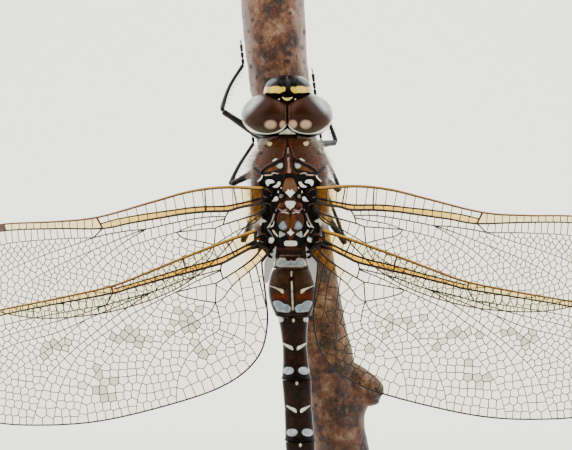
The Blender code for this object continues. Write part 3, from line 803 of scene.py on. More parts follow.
def build_wing(kind, wing, side, side_name):
    """One wing: the veins, the film between them and the stigma."""
    lines = {vein: smooth_line(points) for vein, (points, *_) in wing["veins"].items()}
    tips = dict(fields=[], rungs=[], ambers=[], clouds=[])
    for field in wing["fields"]:
        cells, rungs = grow_cells(lines, field)
        centres = np.array([middle_of(cell) for cell in cells])
        strength, reach = AMBER_FIELDS.get((field[0], field[1]), (0.0, 1.0))
        tips["fields"] += cells
        tips["rungs"].append(rungs)
        tips["ambers"].append(CLEAR_AMBER + strength * np.exp(-(centres[:, 0] / reach) ** 2))
        # Cells near the zones get a painted glint of random strength.
        away = (centres[:, None] - GLINT_ZONES[:, :2]) / GLINT_ZONES[:, 2:]
        near = np.exp(-(away ** 2).sum(2).min(1)) * wing["clouds"]
        chosen = rng.random(len(cells)) < near * 1.6
        tips["clouds"].append(np.where(chosen, rng.uniform(0.3, 1.0, len(cells)), 0.0))
    # The field at the root is one open sheet of film, so its cells have no rungs between them.
    bare, *sides = field_sides(lines, "root", "R", "arculus", "MC")
    bare_cells = [cell for cell, _ in cut_field(bare, sow(*sides, 0.5, None))]
    outs = np.array([cell[:, 0].mean() for cell in bare_cells])
    tips["fields"] += bare_cells
    tips["ambers"].append(CLEAR_AMBER + 0.3 * np.exp(-(outs / 1.2) ** 2))
    tips["clouds"].append(np.zeros(len(bare_cells)))

    def film_height(flat):
        """The film's fold at places on this wing."""
        return fold_height(flat, lines)

    name = f"{kind}_{side_name}"
    veins = build_veins(f"{name}_veins", wing, side, lines, np.concatenate(tips["rungs"]),
                        thick_bars(lines, wing["thick"]), film_height)
    finish_piece(veins, vein_cuticle, "wing", name)
    film = build_film(f"{name}_film", wing, side, tips["fields"], np.concatenate(tips["ambers"]),
                      np.concatenate(tips["clouds"]), film_height)
    finish_piece(film, wing_film, "wing")
    stigma_plate(f"{name}_stigma", wing, side, lines, film_height)
    print(name, len(tips["fields"]), "cells")


for side, side_name in SIDES:
    build_wing("forewing", FORE, side, side_name)
    build_wing("hindwing", HIND, side, side_name)

# %% [markdown]
# ## Shell, plates and marks
# An insect's skin is its skeleton: hard plates with seams between them. Each is a ring surface whose
# cross-section is a superellipse, |x/a|^n + |y/b|^n = 1, a little squarer than an ellipse. Marks and
# ridges are drawn on it in the plane that faces the viewer of its back: an outline or a line there
# gives every point a depth, from which come both its colour and its relief.

# %% Marks on a surface
def depth_inside(points, outline):
    """How deep points lie inside an outline: the distance to its nearest side, negative outside."""
    closed = np.vstack([outline, outline[:1]])
    gap = nearest_on_line(points, closed)[0].min(1)
    x, y = points[:, :1], points[:, 1:]
    start, end = closed[:-1], closed[1:]
    spans = (start[:, 1] > y) != (end[:, 1] > y)
    slope = (end[:, 0] - start[:, 0]) / np.where(end[:, 1] == start[:, 1], 1.0, end[:, 1] - start[:, 1])
    crossings = (spans & (x < slope * (y - start[:, 1]) + start[:, 0])).sum(1)
    return np.where(crossings % 2 == 1, gap, -gap)


def closed_curve(points, step=0.05):
    """A smooth closed outline through a few points."""
    points = np.asarray(points, float)
    looped = np.vstack([points[-2:], points, points[:2]])
    curve = smooth_line(looped, step)
    first = np.linalg.norm(curve - points[0], axis=1)[:len(curve) // 2].argmin()
    last = len(curve) // 2 + np.linalg.norm(curve - points[0], axis=1)[len(curve) // 2:].argmin()
    return curve[first:last]


def soft_step(value, width):
    """0 below, 1 above, with a ramp of the given width round zero."""
    return np.clip(np.asarray(value) / width + 0.5, 0.0, 1.0)


def hump(value, width):
    """exp(-(value / width) squared): a soft bump."""
    return np.exp(-(np.asarray(value) / width) ** 2)


def oval(points, centre, radii, degrees=0.0, softness=0.12):
    """1 inside an ellipse, 0 outside, with a soft edge."""
    turn = math.radians(degrees)
    x, y = (points - np.array(centre)).T
    along = (x * math.cos(turn) + y * math.sin(turn)) / radii[0]
    aside = (y * math.cos(turn) - x * math.sin(turn)) / radii[1]
    return soft_step(1 - np.hypot(along, aside), softness)


def plain_paint(colour, count):
    """The same colour for a number of points."""
    return np.tile(np.array(linear(colour)[:3]), (count, 1))


class Paint:
    """Colours of a surface's points, laid on in coats."""

    def __init__(self, count, ground):
        self.colours = plain_paint(ground, count)

    def coat(self, mask, colour):
        """Moves each point's colour to a new one by the mask: old + mask * (new - old)."""
        self.colours += np.asarray(mask)[:, None] * (np.array(linear(colour)[:3]) - self.colours)


# %% Ring surfaces
def superellipse(turns, power):
    """Unit cross-section: cos and sin, each raised to 2 / power with its sign kept."""
    across, deep = np.cos(turns), np.sin(turns)
    return np.sign(across) * np.abs(across) ** (2 / power), np.sign(deep) * np.abs(deep) ** (2 / power)


def ellipsoid_grid(rows, columns):
    """Unit sphere points, ring by ring up the z axis, with tiny end rings that a face closes."""
    rise = np.linspace(-math.pi / 2 + 0.01, math.pi / 2 - 0.01, rows)[:, None]
    turn = circle(columns)[None]
    return np.stack([np.cos(rise) * np.cos(turn), np.cos(rise) * np.sin(turn),
                     np.broadcast_to(np.sin(rise), (rows, columns))], -1).reshape(-1, 3)


def turned(points, degrees, axis="z"):
    """Points turned about an axis through the origin."""
    turn = mathutils.Matrix.Rotation(math.radians(degrees), 3, axis.upper())
    return np.asarray(points) @ np.array(turn).T


def join_parts(name, parts):
    """One mesh from (points, face blocks) parts."""
    points, faces, count = [], [], 0
    for part_points, blocks in parts:
        points.append(part_points)
        faces += [block + count for block in blocks]
        count += len(part_points)
    return new_mesh(name, np.vstack(points), faces)


def limb(path, radii, sides=14, step=0.1):
    """A round limb along a smooth curve, its ends rounded by a quarter circle of smaller rings."""
    path = smooth_line(path, step)
    share = np.linspace(0, 1, len(path))
    radius = np.interp(share, np.linspace(0, 1, len(radii)), radii)
    length = np.linalg.norm(np.diff(path, axis=0), axis=1).sum()
    to_end = np.minimum(share, 1 - share) * length
    radius = radius * np.sqrt(np.clip(1 - (1 - np.clip(to_end / radius, 0.02, 1)) ** 2, 0.02, 1))
    return tube(path, radius, sides), ring_faces(len(path), sides)


# %% [markdown]
# Cuticle is chitin, the same stuff as in fingernail-hard horn: a clear, slightly glossy surface over
# a pigment. Its fine grain and pits break the highlights. The colour comes from the points' coats of
# paint, and a noise of a tenth of a millimetre mottles it.

# %% Cuticle
def painted_cuticle(name, roughness, gloss, mottle, mottle_scale, bump_height):
    """Cuticle whose base colour is the surface's own paint, mottled and slightly pitted. Without a
    number for its gloss it takes that from the surface too."""
    material, tree, shader = new_material(name, "#3A2418", roughness, Specular_IOR_Level=gloss or 0.0)
    if gloss is None:
        tree.links.new(attribute(tree, "gloss"), shader.inputs["Specular IOR Level"])
    shade = fit(tree, noise(tree, mottle_scale, 4.0, Roughness=0.6), 0.3, 0.7, 1.0 - mottle, 1.0 + mottle)
    mottled = shaded(tree, attribute(tree, "paint", "Vector"), shade)
    tree.links.new(mottled, shader.inputs["Base Color"])
    add_bump(tree, shader, noise(tree, 9000.0, 2.0), 0.5, bump_height)
    return material


shell_cuticle = painted_cuticle("brown_thorax_cuticle", 0.32, 0.05, 0.45, 3400.0, 0.03)
face_cuticle = painted_cuticle("polished_face_cuticle", 0.18, None, 0.22, 2800.0, 0.034)
tail_cuticle = painted_cuticle("dark_abdomen_cuticle", 0.26, 0.05, 0.45, 2600.0, 0.016)

# %% [markdown]
# ## Head
# Nearly all of the head is eye. The two eyes are egg-shaped, lean together and meet in a straight
# seam. In front of them sits the face, a blunt dome with a black T on yellow; behind the seam a small
# pale triangle fills the notch. Each eye is an ellipsoid whose inner side is pressed flat on the seam.

# %% Eyes
HEAD = np.array([-0.22, 0.0, 10.66])
EYE_RADII = np.array([2.20, 3.25, 2.05])
EYE_OUT, EYE_Y, EYE_LEAN, SEAM = 2.03, -0.35, 25.0, 0.02
# The y that a surface has where it doesn't reach: far behind the others.
NOT_HERE = 3.0
# Painted reflections, pale spots low on each eye: out from the seam, up, half the width and half the height.
EYE_REFLECTION_SPOTS = {-1: ((1.60, -1.02, 0.53, 0.38), (0.42, -1.02, 0.30, 0.34)),
             1: ((1.78, -1.00, 0.50, 0.38), (0.52, -0.97, 0.40, 0.36))}


def eye_front(x, z):
    """The y of the eyes' surface towards the viewer at given x and z: the root of a quadratic in y."""
    side = np.where(x > HEAD[0], 1, -1)
    lean = np.radians(side * EYE_LEAN)
    px, pz = x - HEAD[0] - side * EYE_OUT, (z - HEAD[2]) / EYE_RADII[2]
    # With y unknown: ((px cos - y sin) / a)^2 + ((px sin + y cos) / b)^2 + pz^2 = 1.
    a, b, _ = EYE_RADII
    cos, sin = np.cos(lean), np.sin(lean)
    quadratic = (sin / a) ** 2 + (cos / b) ** 2
    linear_part = 2 * px * sin * cos * (1 / b ** 2 - 1 / a ** 2)
    constant = (px * cos / a) ** 2 + (px * sin / b) ** 2 + pz ** 2 - 1
    inside = linear_part ** 2 - 4 * quadratic * constant
    root = (-linear_part - np.sqrt(np.maximum(inside, 0))) / (2 * quadratic)
    return EYE_Y + np.where(inside > 0, root, NOT_HERE)


def build_eye(side, side_name):
    """One eye: an ellipsoid pressed flat on the seam, with its colours laid on zone by zone."""
    rows, columns = 130, 150
    bead = turned(ellipsoid_grid(rows, columns), 90, "x")
    points = turned(bead * EYE_RADII, -side * EYE_LEAN) + HEAD + np.array([side * EYE_OUT, EYE_Y, 0.0])
    inward = side * (points[:, 0] - HEAD[0])
    points[:, 0] = HEAD[0] + side * np.maximum(inward, SEAM)
    local = (points - HEAD) * np.array([side, 1, 1])
    paint = Paint(len(points), "#2A1307")
    flat = local[:, [0, 2]]
    paint.coat(soft_step(local[:, 2] - 0.1, 1.6) * hump(local[:, 0], 1.6) * 0.6, "#4A220C")
    paint.coat(soft_step(local[:, 2] + 1.45, -0.9) * 0.8, "#55543E")
    paint.coat(soft_step(local[:, 0] - 2.9, 1.8) * 0.6, "#3E281C")
    towards = turned(bead, -side * EYE_LEAN) * np.array([side, 1, 1])
    under = towards @ np.array([0.45, 0.85, -0.28])
    paint.coat(soft_step(under - 0.42, 0.40), "#6E7A4A")
    paint.coat(soft_step(under - 0.80, 0.25), "#A8A868")
    paint.coat(soft_step(towards @ np.array([0.79, 0.18, -0.59]) - 0.92, 0.09), "#DCCFBC")
    facing = soft_step(-local[:, 1], 0.6)
    # Pale spots of painted reflection, on the side of the eye that faces the viewer.
    for across, up, width, height in EYE_REFLECTION_SPOTS[side]:
        paint.coat(oval(flat, (across, up), (width, height), softness=0.6) * facing * 0.9, "#C4A084")
    # Where the surface turns away from the viewer, low down: a white rim, then black.
    facing_out = unit(turned(bead / EYE_RADII, -side * EYE_LEAN))
    rim = soft_step(facing_out[:, 1] + 0.33, 0.05) * soft_step(-facing_out[:, 2] - 0.60, 0.20)
    paint.coat(rim * soft_step(-0.08 - facing_out[:, 1], 0.05), "#FAF6EA")
    paint.coat(rim * soft_step(facing_out[:, 1] + 0.08, 0.05), "#1A140E")
    # The seam is a fine black line, with a painted highlight in tan along its edge.
    paint.coat(hump(local[:, 0] - 0.17, 0.07) * soft_step(local[:, 2] + 0.9, 0.3) * 0.3, "#8A6A50")
    paint.coat(hump(local[:, 0] - 0.02, 0.08), "#0C0806")
    faces = ring_faces(rows, columns)
    piece = new_mesh(f"eye_bead_{side_name}", points, faces)
    # The pressed side is flat, so that the seam is a crisp edge.
    pressed = local[:, 0] < SEAM + 1e-6
    smooth = ~np.concatenate([pressed[block].all(1) for block in faces])
    piece.data.polygons.foreach_set("use_smooth", smooth)
    # The upper, outer facets are larger and shinier than the rest.
    shiny = soft_step(towards @ np.array([0.80, 0.0, 0.60]) - 0.70, 0.34) ** 2.0
    finish_piece(piece, eye_lens, "eye", f"eye_{side_name}", paint=paint.colours, gloss=0.02 + 0.98 * shiny)


# %% [markdown]
# An eye's surface is thousands of clear lenses over brown pigment, polished like a bead, and shinier
# above, where the lenses are large, than below. The lenses are 0.04 mm wide, too fine to show one by
# one, so the bump that stands for them is drawn twice as coarse, and only softens the highlight.

# %% Eye material and the two eyes
eye_lens, tree, shader = new_material("clear_eye_lenses", "#2A1307", 0.28, Coat_Roughness=0.26,
                                      Coat_IOR=3.4)
eye_shade = fit(tree, noise(tree, 700.0, 3.0), 0.3, 0.7, 0.85, 1.15)
tree.links.new(shaded(tree, attribute(tree, "paint", "Vector"), eye_shade), shader.inputs["Base Color"])
for socket in ("Specular IOR Level", "Coat Weight"):
    tree.links.new(attribute(tree, "gloss"), shader.inputs[socket])
eye_place = add_node(tree, "ShaderNodeTexCoord").outputs["Object"]
facets = add_node(tree, "ShaderNodeTexVoronoi", {"Vector": eye_place}, Scale=12500.0)
add_bump(tree, shader, facets.outputs["Distance"], 0.15, 0.004, invert=True)

for side, side_name in SIDES:
    build_eye(side, side_name)

# %% [markdown]
# The face is rings round a left-to-right axis, so that each ring is one profile from the brow, over
# the front, to the mouth. Swellings and grooves along that profile make the brow, the two halves of
# the clypeus, the upper lip and the jaws. The T and its surround are marks on the brow.

# %% Face
FACE_CENTRE = HEAD + np.array([0.08, 0.60, 1.24])
FACE_RADII = np.array([2.42, 3.00, 2.66])
FACE_POWER = 3.0
# (degrees round from the brow, width in degrees, height in mm): swellings and grooves of the profile.
FACE_PROFILE = ((52, 30, 0.10), (92, 5, -0.14), (106, 11, 0.05), (120, 4, -0.10), (131, 8, -0.04),
                (142, 4, -0.10), (160, 14, 0.10), (178, 5, -0.12), (205, 20, 0.06))


def face_front(x, z):
    """The y of the face's surface towards the viewer."""
    across, up = np.abs(x - FACE_CENTRE[0]) / FACE_RADII[0], np.abs(z - FACE_CENTRE[2]) / FACE_RADII[2]
    inside = 1 - (across ** FACE_POWER + up ** FACE_POWER) ** (2 / FACE_POWER)
    return np.where(inside > 0, FACE_CENTRE[1] - FACE_RADII[1] * np.sqrt(np.maximum(inside, 0)), NOT_HERE)


def build_face():
    """The face: rings of radius + relief, made squarer by (|x|^p + |z|^p)^(1/p), and its marks."""
    rows, columns = 150, 220
    lean = np.linspace(-math.pi / 2 + 0.01, math.pi / 2 - 0.01, rows)[:, None]
    turn = np.linspace(0, 2 * math.pi, columns, endpoint=False)[None]
    degrees = np.degrees(turn)
    relief = sum(height * hump((degrees - at + 180) % 360 - 180, width)
                 for at, width, height in FACE_PROFILE)
    relief = relief * np.cos(lean) ** 0.8
    relief = relief - 0.10 * hump(lean, 0.05) * hump(degrees - 52, 28)
    x = np.sin(lean) * (1 + 0 * turn)
    z = np.sin(turn) * np.cos(lean)
    squarer = np.hypot(x, z) / (np.abs(x) ** FACE_POWER + np.abs(z) ** FACE_POWER) ** (1 / FACE_POWER)
    x = x * squarer * FACE_RADII[0]
    y = -np.cos(turn) * np.cos(lean) * (FACE_RADII[1] + relief)
    z = z * squarer * (FACE_RADII[2] + relief)
    points = np.stack([x, y, z], -1).reshape(-1, 3)
    across, angle = np.abs(points[:, 0]), np.broadcast_to(degrees, x.shape).ravel()
    paint = Paint(len(points), "#8C7A34")
    flat = np.stack([across, (points + FACE_CENTRE - HEAD)[:, 2]], 1)
    back = (angle < 92) | (angle > 300)
    paint.coat(back * 1.0, "#0C0A0A")
    patch = closed_curve([(0.26, 2.56), (0.42, 2.66), (0.70, 2.62), (0.95, 2.72), (1.35, 2.74), (1.75, 2.66),
                          (2.1, 2.72), (2.5, 2.5), (2.5, 2.15), (1.9, 2.02), (1.3, 2.02), (0.75, 1.90),
                          (0.48, 2.04), (0.30, 2.30)])
    yellow = soft_step(depth_inside(flat, patch), 0.07) * (points[:, 1] < 0)
    paint.coat(yellow, "#DAB236")
    paint.coat(yellow * soft_step(across - 1.75, 0.3) * soft_step(2.56 - flat[:, 1], 0.2) * 0.7, "#A8701C")
    paint.coat(yellow * soft_step(across - 2.05, 0.2) * 0.85, "#E2D0B8")
    # The brow is polished where it turns away to either side, and dull along its middle.
    # The polished sides also carry a painted bluish highlight.
    tilt = unit(points / FACE_RADII)
    polish_and_highlight = soft_step(np.abs(tilt[:, 0]) * 0.62 + tilt[:, 2] * 0.78 - 0.87, 0.14)
    # Painted highlight: bluish grey on the polished sides of the brow.
    paint.coat(polish_and_highlight * back * (1 - yellow) * 0.5, "#3A3C4C")
    grooved = soft_step(np.cos(np.repeat(lean.ravel(), columns)) - 0.30, 0.3)
    for at in (92, 120, 142, 178):
        paint.coat(hump(angle - at, 2.6) * 0.9 * grooved, "#1A120C")
    paint.coat(soft_step(angle - 178, 3) * soft_step(262 - angle, 10), "#6E5A34")
    paint.coat(hump(points[:, 0], 0.05) * soft_step(angle - 178, 3) * soft_step(262 - angle, 10), "#2A1C10")
    piece = new_mesh("face_shell", points + FACE_CENTRE, ring_faces(rows, columns, flip=True))
    finish_piece(piece, face_cuticle, "face", "face", paint=paint.colours,
                 gloss=0.05 + 0.15 * yellow + 0.7 * polish_and_highlight)


# %% [markdown]
# Small pale plates lie on the dark ground of head and thorax. Each is a closed cushion: its outline
# is drawn in the plane facing the viewer, rings shrink from it to the middle, and every ring lies on
# the surface below plus a rise that follows a quarter circle. A deeper copy of the rings closes it
# from beneath.

# %% Plates
def plate(outline, surface, rise, sink=0.12, rings=7):
    """Points and faces of a domed plate over surface(x, z), which gives the y to lie on."""
    centre = outline.mean(0)
    shares = np.sin(np.linspace(0.0, math.pi / 2, rings))[::-1][:-1]
    tops = centre + shares[:, None, None] * (outline - centre)
    dome = rise * np.sqrt(np.clip(1 - shares ** 2, 0, 1))
    rims = [np.stack([outline[:, 0], surface(*outline.T) + sink, outline[:, 1]], 1)]
    rims += [np.stack([top[:, 0], surface(*top.T) - height, top[:, 1]], 1)
             for top, height in zip(tops, dome)]
    rims.append(rims[-1] * 0.02 + rims[-1].mean(0) * 0.98)
    area = np.cross(outline - centre, np.roll(outline, -1, 0) - centre).sum()
    return np.vstack(rims), ring_faces(len(rims), len(outline), flip=area < 0)


def mirrored(points):
    """An outline on the other side of the middle line, run in the same sense."""
    return (points * np.array([-1, 1]))[::-1]


def from_half(points):
    """A whole outline from the half that starts and ends on the middle line."""
    half = np.asarray(points, float)
    return np.vstack([half, mirrored(half)[1:-1]])


def even_loop(points, step):
    """A closed outline with straight sides and its points a step apart."""
    return even_line(np.vstack([points, points[:1]]), step)[:-1]


def head_front(x, z):
    """What faces the viewer: face or eyes, and behind the seam a slope that fills the notch."""
    notch = -1.95 + 0.8 * (HEAD[2] - 1.2 - z)
    seen = np.minimum(eye_front(x, z), face_front(x, z))
    return np.minimum(seen, np.where(z < HEAD[2] - 0.9, notch, NOT_HERE))


def add_plates(name, entries, surface, material, slot, *nodes):
    """Several plates as one piece, each with its own colour."""
    parts, colours = [], []
    for outline, rise, colour in entries:
        part = plate(outline, surface, rise)
        parts.append(part)
        colours.append(plain_paint(colour, len(part[0])))
    finish_piece(join_parts(name, parts), material, slot, *nodes, paint=np.vstack(colours))


build_face()
VERTEX = from_half([(0, 0.96), (0.45, 1.16), (1.24, 1.44), (1.97, 1.80), (2.34, 2.12), (2.2, 2.19),
                    (1.7, 2.07), (1.2, 2.10), (0.75, 2.02), (0.4, 2.2), (0, 2.2)])
CRESCENT = from_half([(0, 1.22), (0.24, 1.30), (0.64, 1.62), (0.60, 1.70), (0.3, 1.60), (0, 1.57)])
OCELLUS = closed_curve([(0.78, 1.36), (0.86, 1.44), (0.78, 1.53), (0.70, 1.44)], 0.04)
OCCIPUT = from_half([(0, -1.32), (0.12, -1.42), (0.42, -1.62), (0.82, -1.84), (0.78, -1.90), (0, -1.90)])
head_place = np.array([HEAD[0], HEAD[2]])
HEAD_PLATES = [(even_loop(VERTEX, 0.08), 0.16, "#0A0808"), (even_loop(OCCIPUT, 0.08), 0.14, "#D2D6B0"),
               (even_loop(CRESCENT, 0.06), 0.24, "#DCC468"), (OCELLUS, 0.26, "#E8E6DC"),
               (mirrored(OCELLUS), 0.26, "#E8E6DC")]
HEAD_PLATES = [(outline + head_place, rise, colour) for outline, rise, colour in HEAD_PLATES]
add_plates("vertex_and_occiput", HEAD_PLATES, head_front, face_cuticle, "head")

# %% [markdown]
# Behind the eyes the head is a shallow black cup on a thin neck. It is an ellipsoid inside the eyes,
# with two smaller copies of the eyes that stand out a tenth of a millimetre at their lower edge only,
# so the eyes sit in it like eggs in egg cups and a fine black line runs below each.

# %% Head cup, neck and feelers
def build_cup():
    """The head's black cup with a collar under each eye, and the ringed neck below it."""
    rows, columns = 90, 160
    ball = ellipsoid_grid(rows, columns)
    points = ball * np.array([3.40, 3.00, 2.15]) + np.array([0.0, 0.60, 0.04])
    paint = Paint(len(points), "#14100E")
    paint.coat(soft_step(points[:, 1] - 1.2, 0.6), "#5E4A2C")
    parts, colours = [(points + HEAD, ring_faces(rows, columns))], [paint.colours]
    for side in (-1, 1):
        shell = turned(turned(ball, 90, "x") * (EYE_RADII - [0.08, 0.30, 0.0]), -side * EYE_LEAN)
        shell += HEAD + np.array([side * (EYE_OUT - 0.05), EYE_Y + 0.25, -0.13])
        shell[:, 0] = HEAD[0] + side * np.maximum(side * (shell[:, 0] - HEAD[0]), 0.05)
        parts.append((shell, ring_faces(rows, columns)))
        colours.append(plain_paint("#0A0807", len(shell)))
    cup = join_parts("head_cup", parts)
    finish_piece(cup, shell_cuticle, "head", "head_capsule", paint=np.vstack(colours))
    parts = []
    for height, radius in ((7.75, 1.30), (8.05, 1.42), (8.40, 1.18), (8.62, 1.0)):
        ring_points = ellipsoid_grid(16, 48) * np.array([radius, radius * 0.85, 0.26])
        parts.append((ring_points + np.array([HEAD[0], 0.30, height]), ring_faces(16, 48)))
    neck = join_parts("neck", parts)
    finish_piece(neck, shell_cuticle, "head", "prothorax",
                 paint=plain_paint("#5A4030", len(neck.data.vertices)))


def build_feeler(side, side_name):
    """Two short thick joints, then a bristle 0.1 mm across that tapers to a hair."""
    root = HEAD + np.array([side * 0.75, -1.75, 3.00])
    joints = root + np.array([(0, 0.20, -0.2), (side * 0.12, -0.12, 0.22), (side * 0.22, -0.32, 0.5)])
    bristle = root + np.array([(side * 0.22, -0.32, 0.45), (side * 0.32, -0.5, 0.95),
                               (side * 0.10, -0.6, 1.7), (-side * 0.35, -0.45, 2.6)])
    piece = join_parts(f"feeler_{side_name}", [limb(joints, (0.13, 0.12, 0.09), 12, 0.05),
                                                limb(bristle, (0.04, 0.03, 0.022, 0.016), 8, 0.1)])
    finish_piece(piece, leg_cuticle, "leg", f"antenna_{side_name}")


leg_cuticle, tree, shader = new_material("black_leg_cuticle", "#120D0B", 0.28, Specular_IOR_Level=0.25)
leg_noise = noise(tree, 1800.0, 3.0)
leg_colours = ramp(tree, leg_noise, [(0.35, "#090707"), (0.6, "#15100E"), (0.8, "#2A1E19")])
tree.links.new(leg_colours, shader.inputs["Base Color"])
add_bump(tree, shader, leg_noise, 0.4, 0.02)
build_cup()
for side, side_name in SIDES:
    build_feeler(side, side_name)

# %% [markdown]
# ## Thorax
# The thorax is a muscle box, deep and narrow, with the wings hinged along its top. Its skin here is
# one grid: rings up the body, joined smoothly through a dozen stations. Each station gives a height,
# half the width, and where the back and the breast are. Lines and patches on the back are drawn once
# for the right side and mirrored, since an insect's two halves match.

# %% Thorax stations and middle line
THORAX = np.array([
    (8.35, 2.10, -1.90, 1.90), (7.70, 2.60, -2.55, 2.60), (6.90, 3.15, -3.10, 3.30),
    (6.00, 3.58, -3.55, 3.90), (5.00, 3.72, -3.85, 4.35), (4.30, 3.76, -3.60, 4.55),
    (3.50, 3.78, -3.32, 4.65), (1.80, 3.84, -3.30, 4.60), (0.00, 3.60, -3.28, 4.10),
    (-1.20, 3.10, -3.10, 3.40), (-2.20, 2.50, -2.80, 2.70), (-2.88, 1.90, -2.40, 2.10),
])
THORAX_POWER = 2.4
THORAX_FINE = smooth_line(THORAX[::-1], 0.05)


def thorax_middle(z):
    """The x of the middle line: the body leans slightly to its left towards the head."""
    return np.interp(z, [-3.0, 0.0, 3.0, 8.4], [0.13, 0.09, 0.06, -0.20])


def thorax_section(z):
    """Half width, back and breast at given heights."""
    return [np.interp(z, THORAX_FINE[:, 0], THORAX_FINE[:, column]) for column in (1, 2, 3)]


def thorax_front(x, z):
    """The y of the smooth back, without relief."""
    half, back, breast = thorax_section(z)
    share = np.clip(np.abs(x - 0.3 * thorax_middle(z)) / half, 0, 0.999)
    return (back + breast) / 2 - (breast - back) / 2 * (1 - share ** THORAX_POWER) ** (1 / THORAX_POWER)


# %% [markdown]
# Lines on the back: out from the middle line and up, then half the width, the height of the ridge
# (or the depth of the groove, if negative) and the colour. The keel runs down the middle and splits
# in two; its arms swing out as the ridges in front of the wings.

# %% Lines on the back
# The red-brown edges come first, so that the black ridges lie over them.
BACK_LINES = [
    ([(0.16, 8.0), (0.30, 7.3), (0.46, 6.7), (0.62, 6.42), (1.25, 6.08), (2.0, 5.72)],
      0.10, 0.0, "#602612"),
    ([(0, 8.5), (0, 7.95), (0.09, 7.52), (0.33, 6.75), (0.47, 6.42), (1.31, 5.93), (2.0, 5.6),
      (2.5, 5.2), (2.68, 4.9)], 0.13, 0.20, "#0C0B0D"),
    ([(0.47, 6.42), (0.45, 5.9), (0.49, 5.44), (0.78, 5.18), (1.2, 5.14), (1.9, 5.02), (2.6, 4.9)],
      0.10, 0.10, "#0C0B0D"),
    ([(0, 7.4), (0, 6.9)], 0.05, -0.04, "#C9A188"),
    ([(0, 6.35), (0, 5.8), (0.02, 5.1)], 0.13, 0.08, "#9C7260"),
    ([(0.16, 6.3), (0.17, 5.7), (0.26, 5.15)], 0.07, -0.05, "#3A1A14"),
    ([(1.9, 4.80), (2.4, 4.78)], 0.05, 0.02, "#D9B294"),
    ([(1.1, 4.92), (1.5, 4.98), (1.75, 4.8)], 0.04, 0.03, "#C9B4A8"),
    ([(1.39, 1.5), (1.62, 1.0), (1.82, 0.44), (2.2, -0.16)], 0.06, 0.10, "#B49A92"),
    ([(1.0, 2.1), (1.2, 1.75), (1.42, 1.5)], 0.07, 0.06, "#8A5A40"),
    ([(0, 0.95), (0, 0.4), (0, -0.2)], 0.13, -0.04, "#6A3812"),
    ([(0, 1.45), (0, 1.2), (0, 0.85)], 0.05, -0.10, "#120A08"),
    ([(0.35, 1.45), (0.75, 1.35), (1.15, 1.55)], 0.06, 0.07, "#A08478"),
    ([(0.2, 1.12), (0.45, 1.22), (0.8, 1.2)], 0.05, 0.05, "#C0B0AC"),
    ([(2.25, -0.45), (1.85, -0.98), (1.72, -1.3)], 0.05, 0.05, "#8A8488"),
]
# Patches: outline on the right side, depth over which the edge rounds, height, colour.
BACK_PATCHES = [
    ([(0.6, 4.85), (2.5, 4.9), (2.95, 4.2), (2.75, 3.3), (2.7, 2.4), (2.9, 1.6), (2.7, 0.6),
      (2.9, -0.1), (2.7, -1.1), (2.0, -2.0), (0.8, -2.2), (0.3, -2.1), (0.2, -1.2), (0.9, -0.5),
      (1.3, 0.4), (1.2, 1.2), (0.75, 1.6), (0.55, 2.4), (0.3, 2.7), (0.5, 3.3), (0.5, 4.2)],
      0.15, -0.16, "#0B0A0B"),
    ([(0, 4.95), (0.5, 4.9), (0.6, 4.5), (0.35, 4.45), (0, 4.6)], 0.1, -0.1, "#0B0A0B"),
    ([(0, 1.72), (0.5, 1.62), (1.0, 1.32), (1.28, 0.9), (1.34, 0.2), (1.15, -0.4), (0.7, -0.62),
      (0.3, -0.5), (0, -0.25)], 0.25, 0.26, "#3E2618"),
    ([(0.05, 1.1), (0.35, 1.0), (0.55, 0.5), (0.35, -0.1), (0.1, -0.2)], 0.2, 0.05, "#54301C"),
    ([(0.62, 0.42), (0.86, 0.25), (1.08, -0.08), (0.98, -0.36), (0.6, -0.48), (0.32, -0.28),
      (0.42, 0.05)], 0.15, 0.06, "#76828A"),
    ([(0.7, 2.9), (1.05, 3.0), (1.1, 2.6), (0.8, 2.5)], 0.1, 0.05, "#8A8070"),
    ([(0.62, 2.3), (0.95, 2.2), (1.3, 1.9), (1.1, 1.55), (0.6, 1.8)], 0.12, 0.06, "#5A3020"),
    ([(0.59, 5.92), (0.9, 5.9), (1.25, 5.66), (0.98, 5.44), (0.70, 5.44), (0.56, 5.66)],
      0.1, 0.03, "#9CA29A"),
    ([(1.2, 5.72), (1.76, 5.46), (2.25, 5.16), (2.15, 5.05), (1.59, 5.14), (1.03, 5.40)],
      0.1, 0.04, "#5E3A16"),
    ([(1.48, 7.83), (1.59, 8.0), (1.98, 8.1), (2.03, 7.95), (1.92, 7.66), (1.70, 7.60)],
      0.06, 0.02, "#D6BE84"),
    ([(1.06, 6.36), (1.2, 6.40), (1.56, 6.18), (1.5, 6.10), (1.2, 6.24)], 0.05, 0.03, "#E6E2DA"),
]
# Spots: out from the middle, up, radius.
FLANK_SPOTS = ((3.25, 3.0, 0.26), (3.5, 2.3, 0.30), (3.1, 1.95, 0.22), (3.4, 1.45, 0.26), (3.62, 2.8, 0.2),
               (3.0, 2.5, 0.2))
SHOULDER_LINE = [(3.60, 6.35), (3.50, 5.95), (3.22, 5.45), (2.72, 4.92)]
SHELL_BROWN = "#39200F"


# %% [markdown]
# The sides slope away under the wings: brown, with two broad yellowish bands between black seams.
# They are drawn the same way in the plane seen from the side, y back to front and z up.

# %% Lines on the sides
SIDE_BANDS = [([(-0.2, 5.6), (0.8, 5.3), (3.4, 4.4)], 0.50, "#B9A66A"),
              ([(-1.8, 1.6), (0.6, 1.3), (3.6, 1.0)], 0.55, "#B9A66A"),
              ([(-1.2, 3.4), (1.0, 3.1), (2.0, 3.2)], 0.22, "#A08E64")]
SIDE_SEAMS = [[(-2.4, 4.5), (0.2, 4.2), (3.8, 3.2)], [(-2.4, 0.6), (0.2, 0.4), (3.6, -0.2)],
              [(-1.8, 6.9), (0.6, 6.4), (3.2, 5.6)], [(-1.8, 2.5), (1.0, 2.2), (3.8, 2.2)], [(-1.5, -1.2),
               (1.5, -1.6)]]


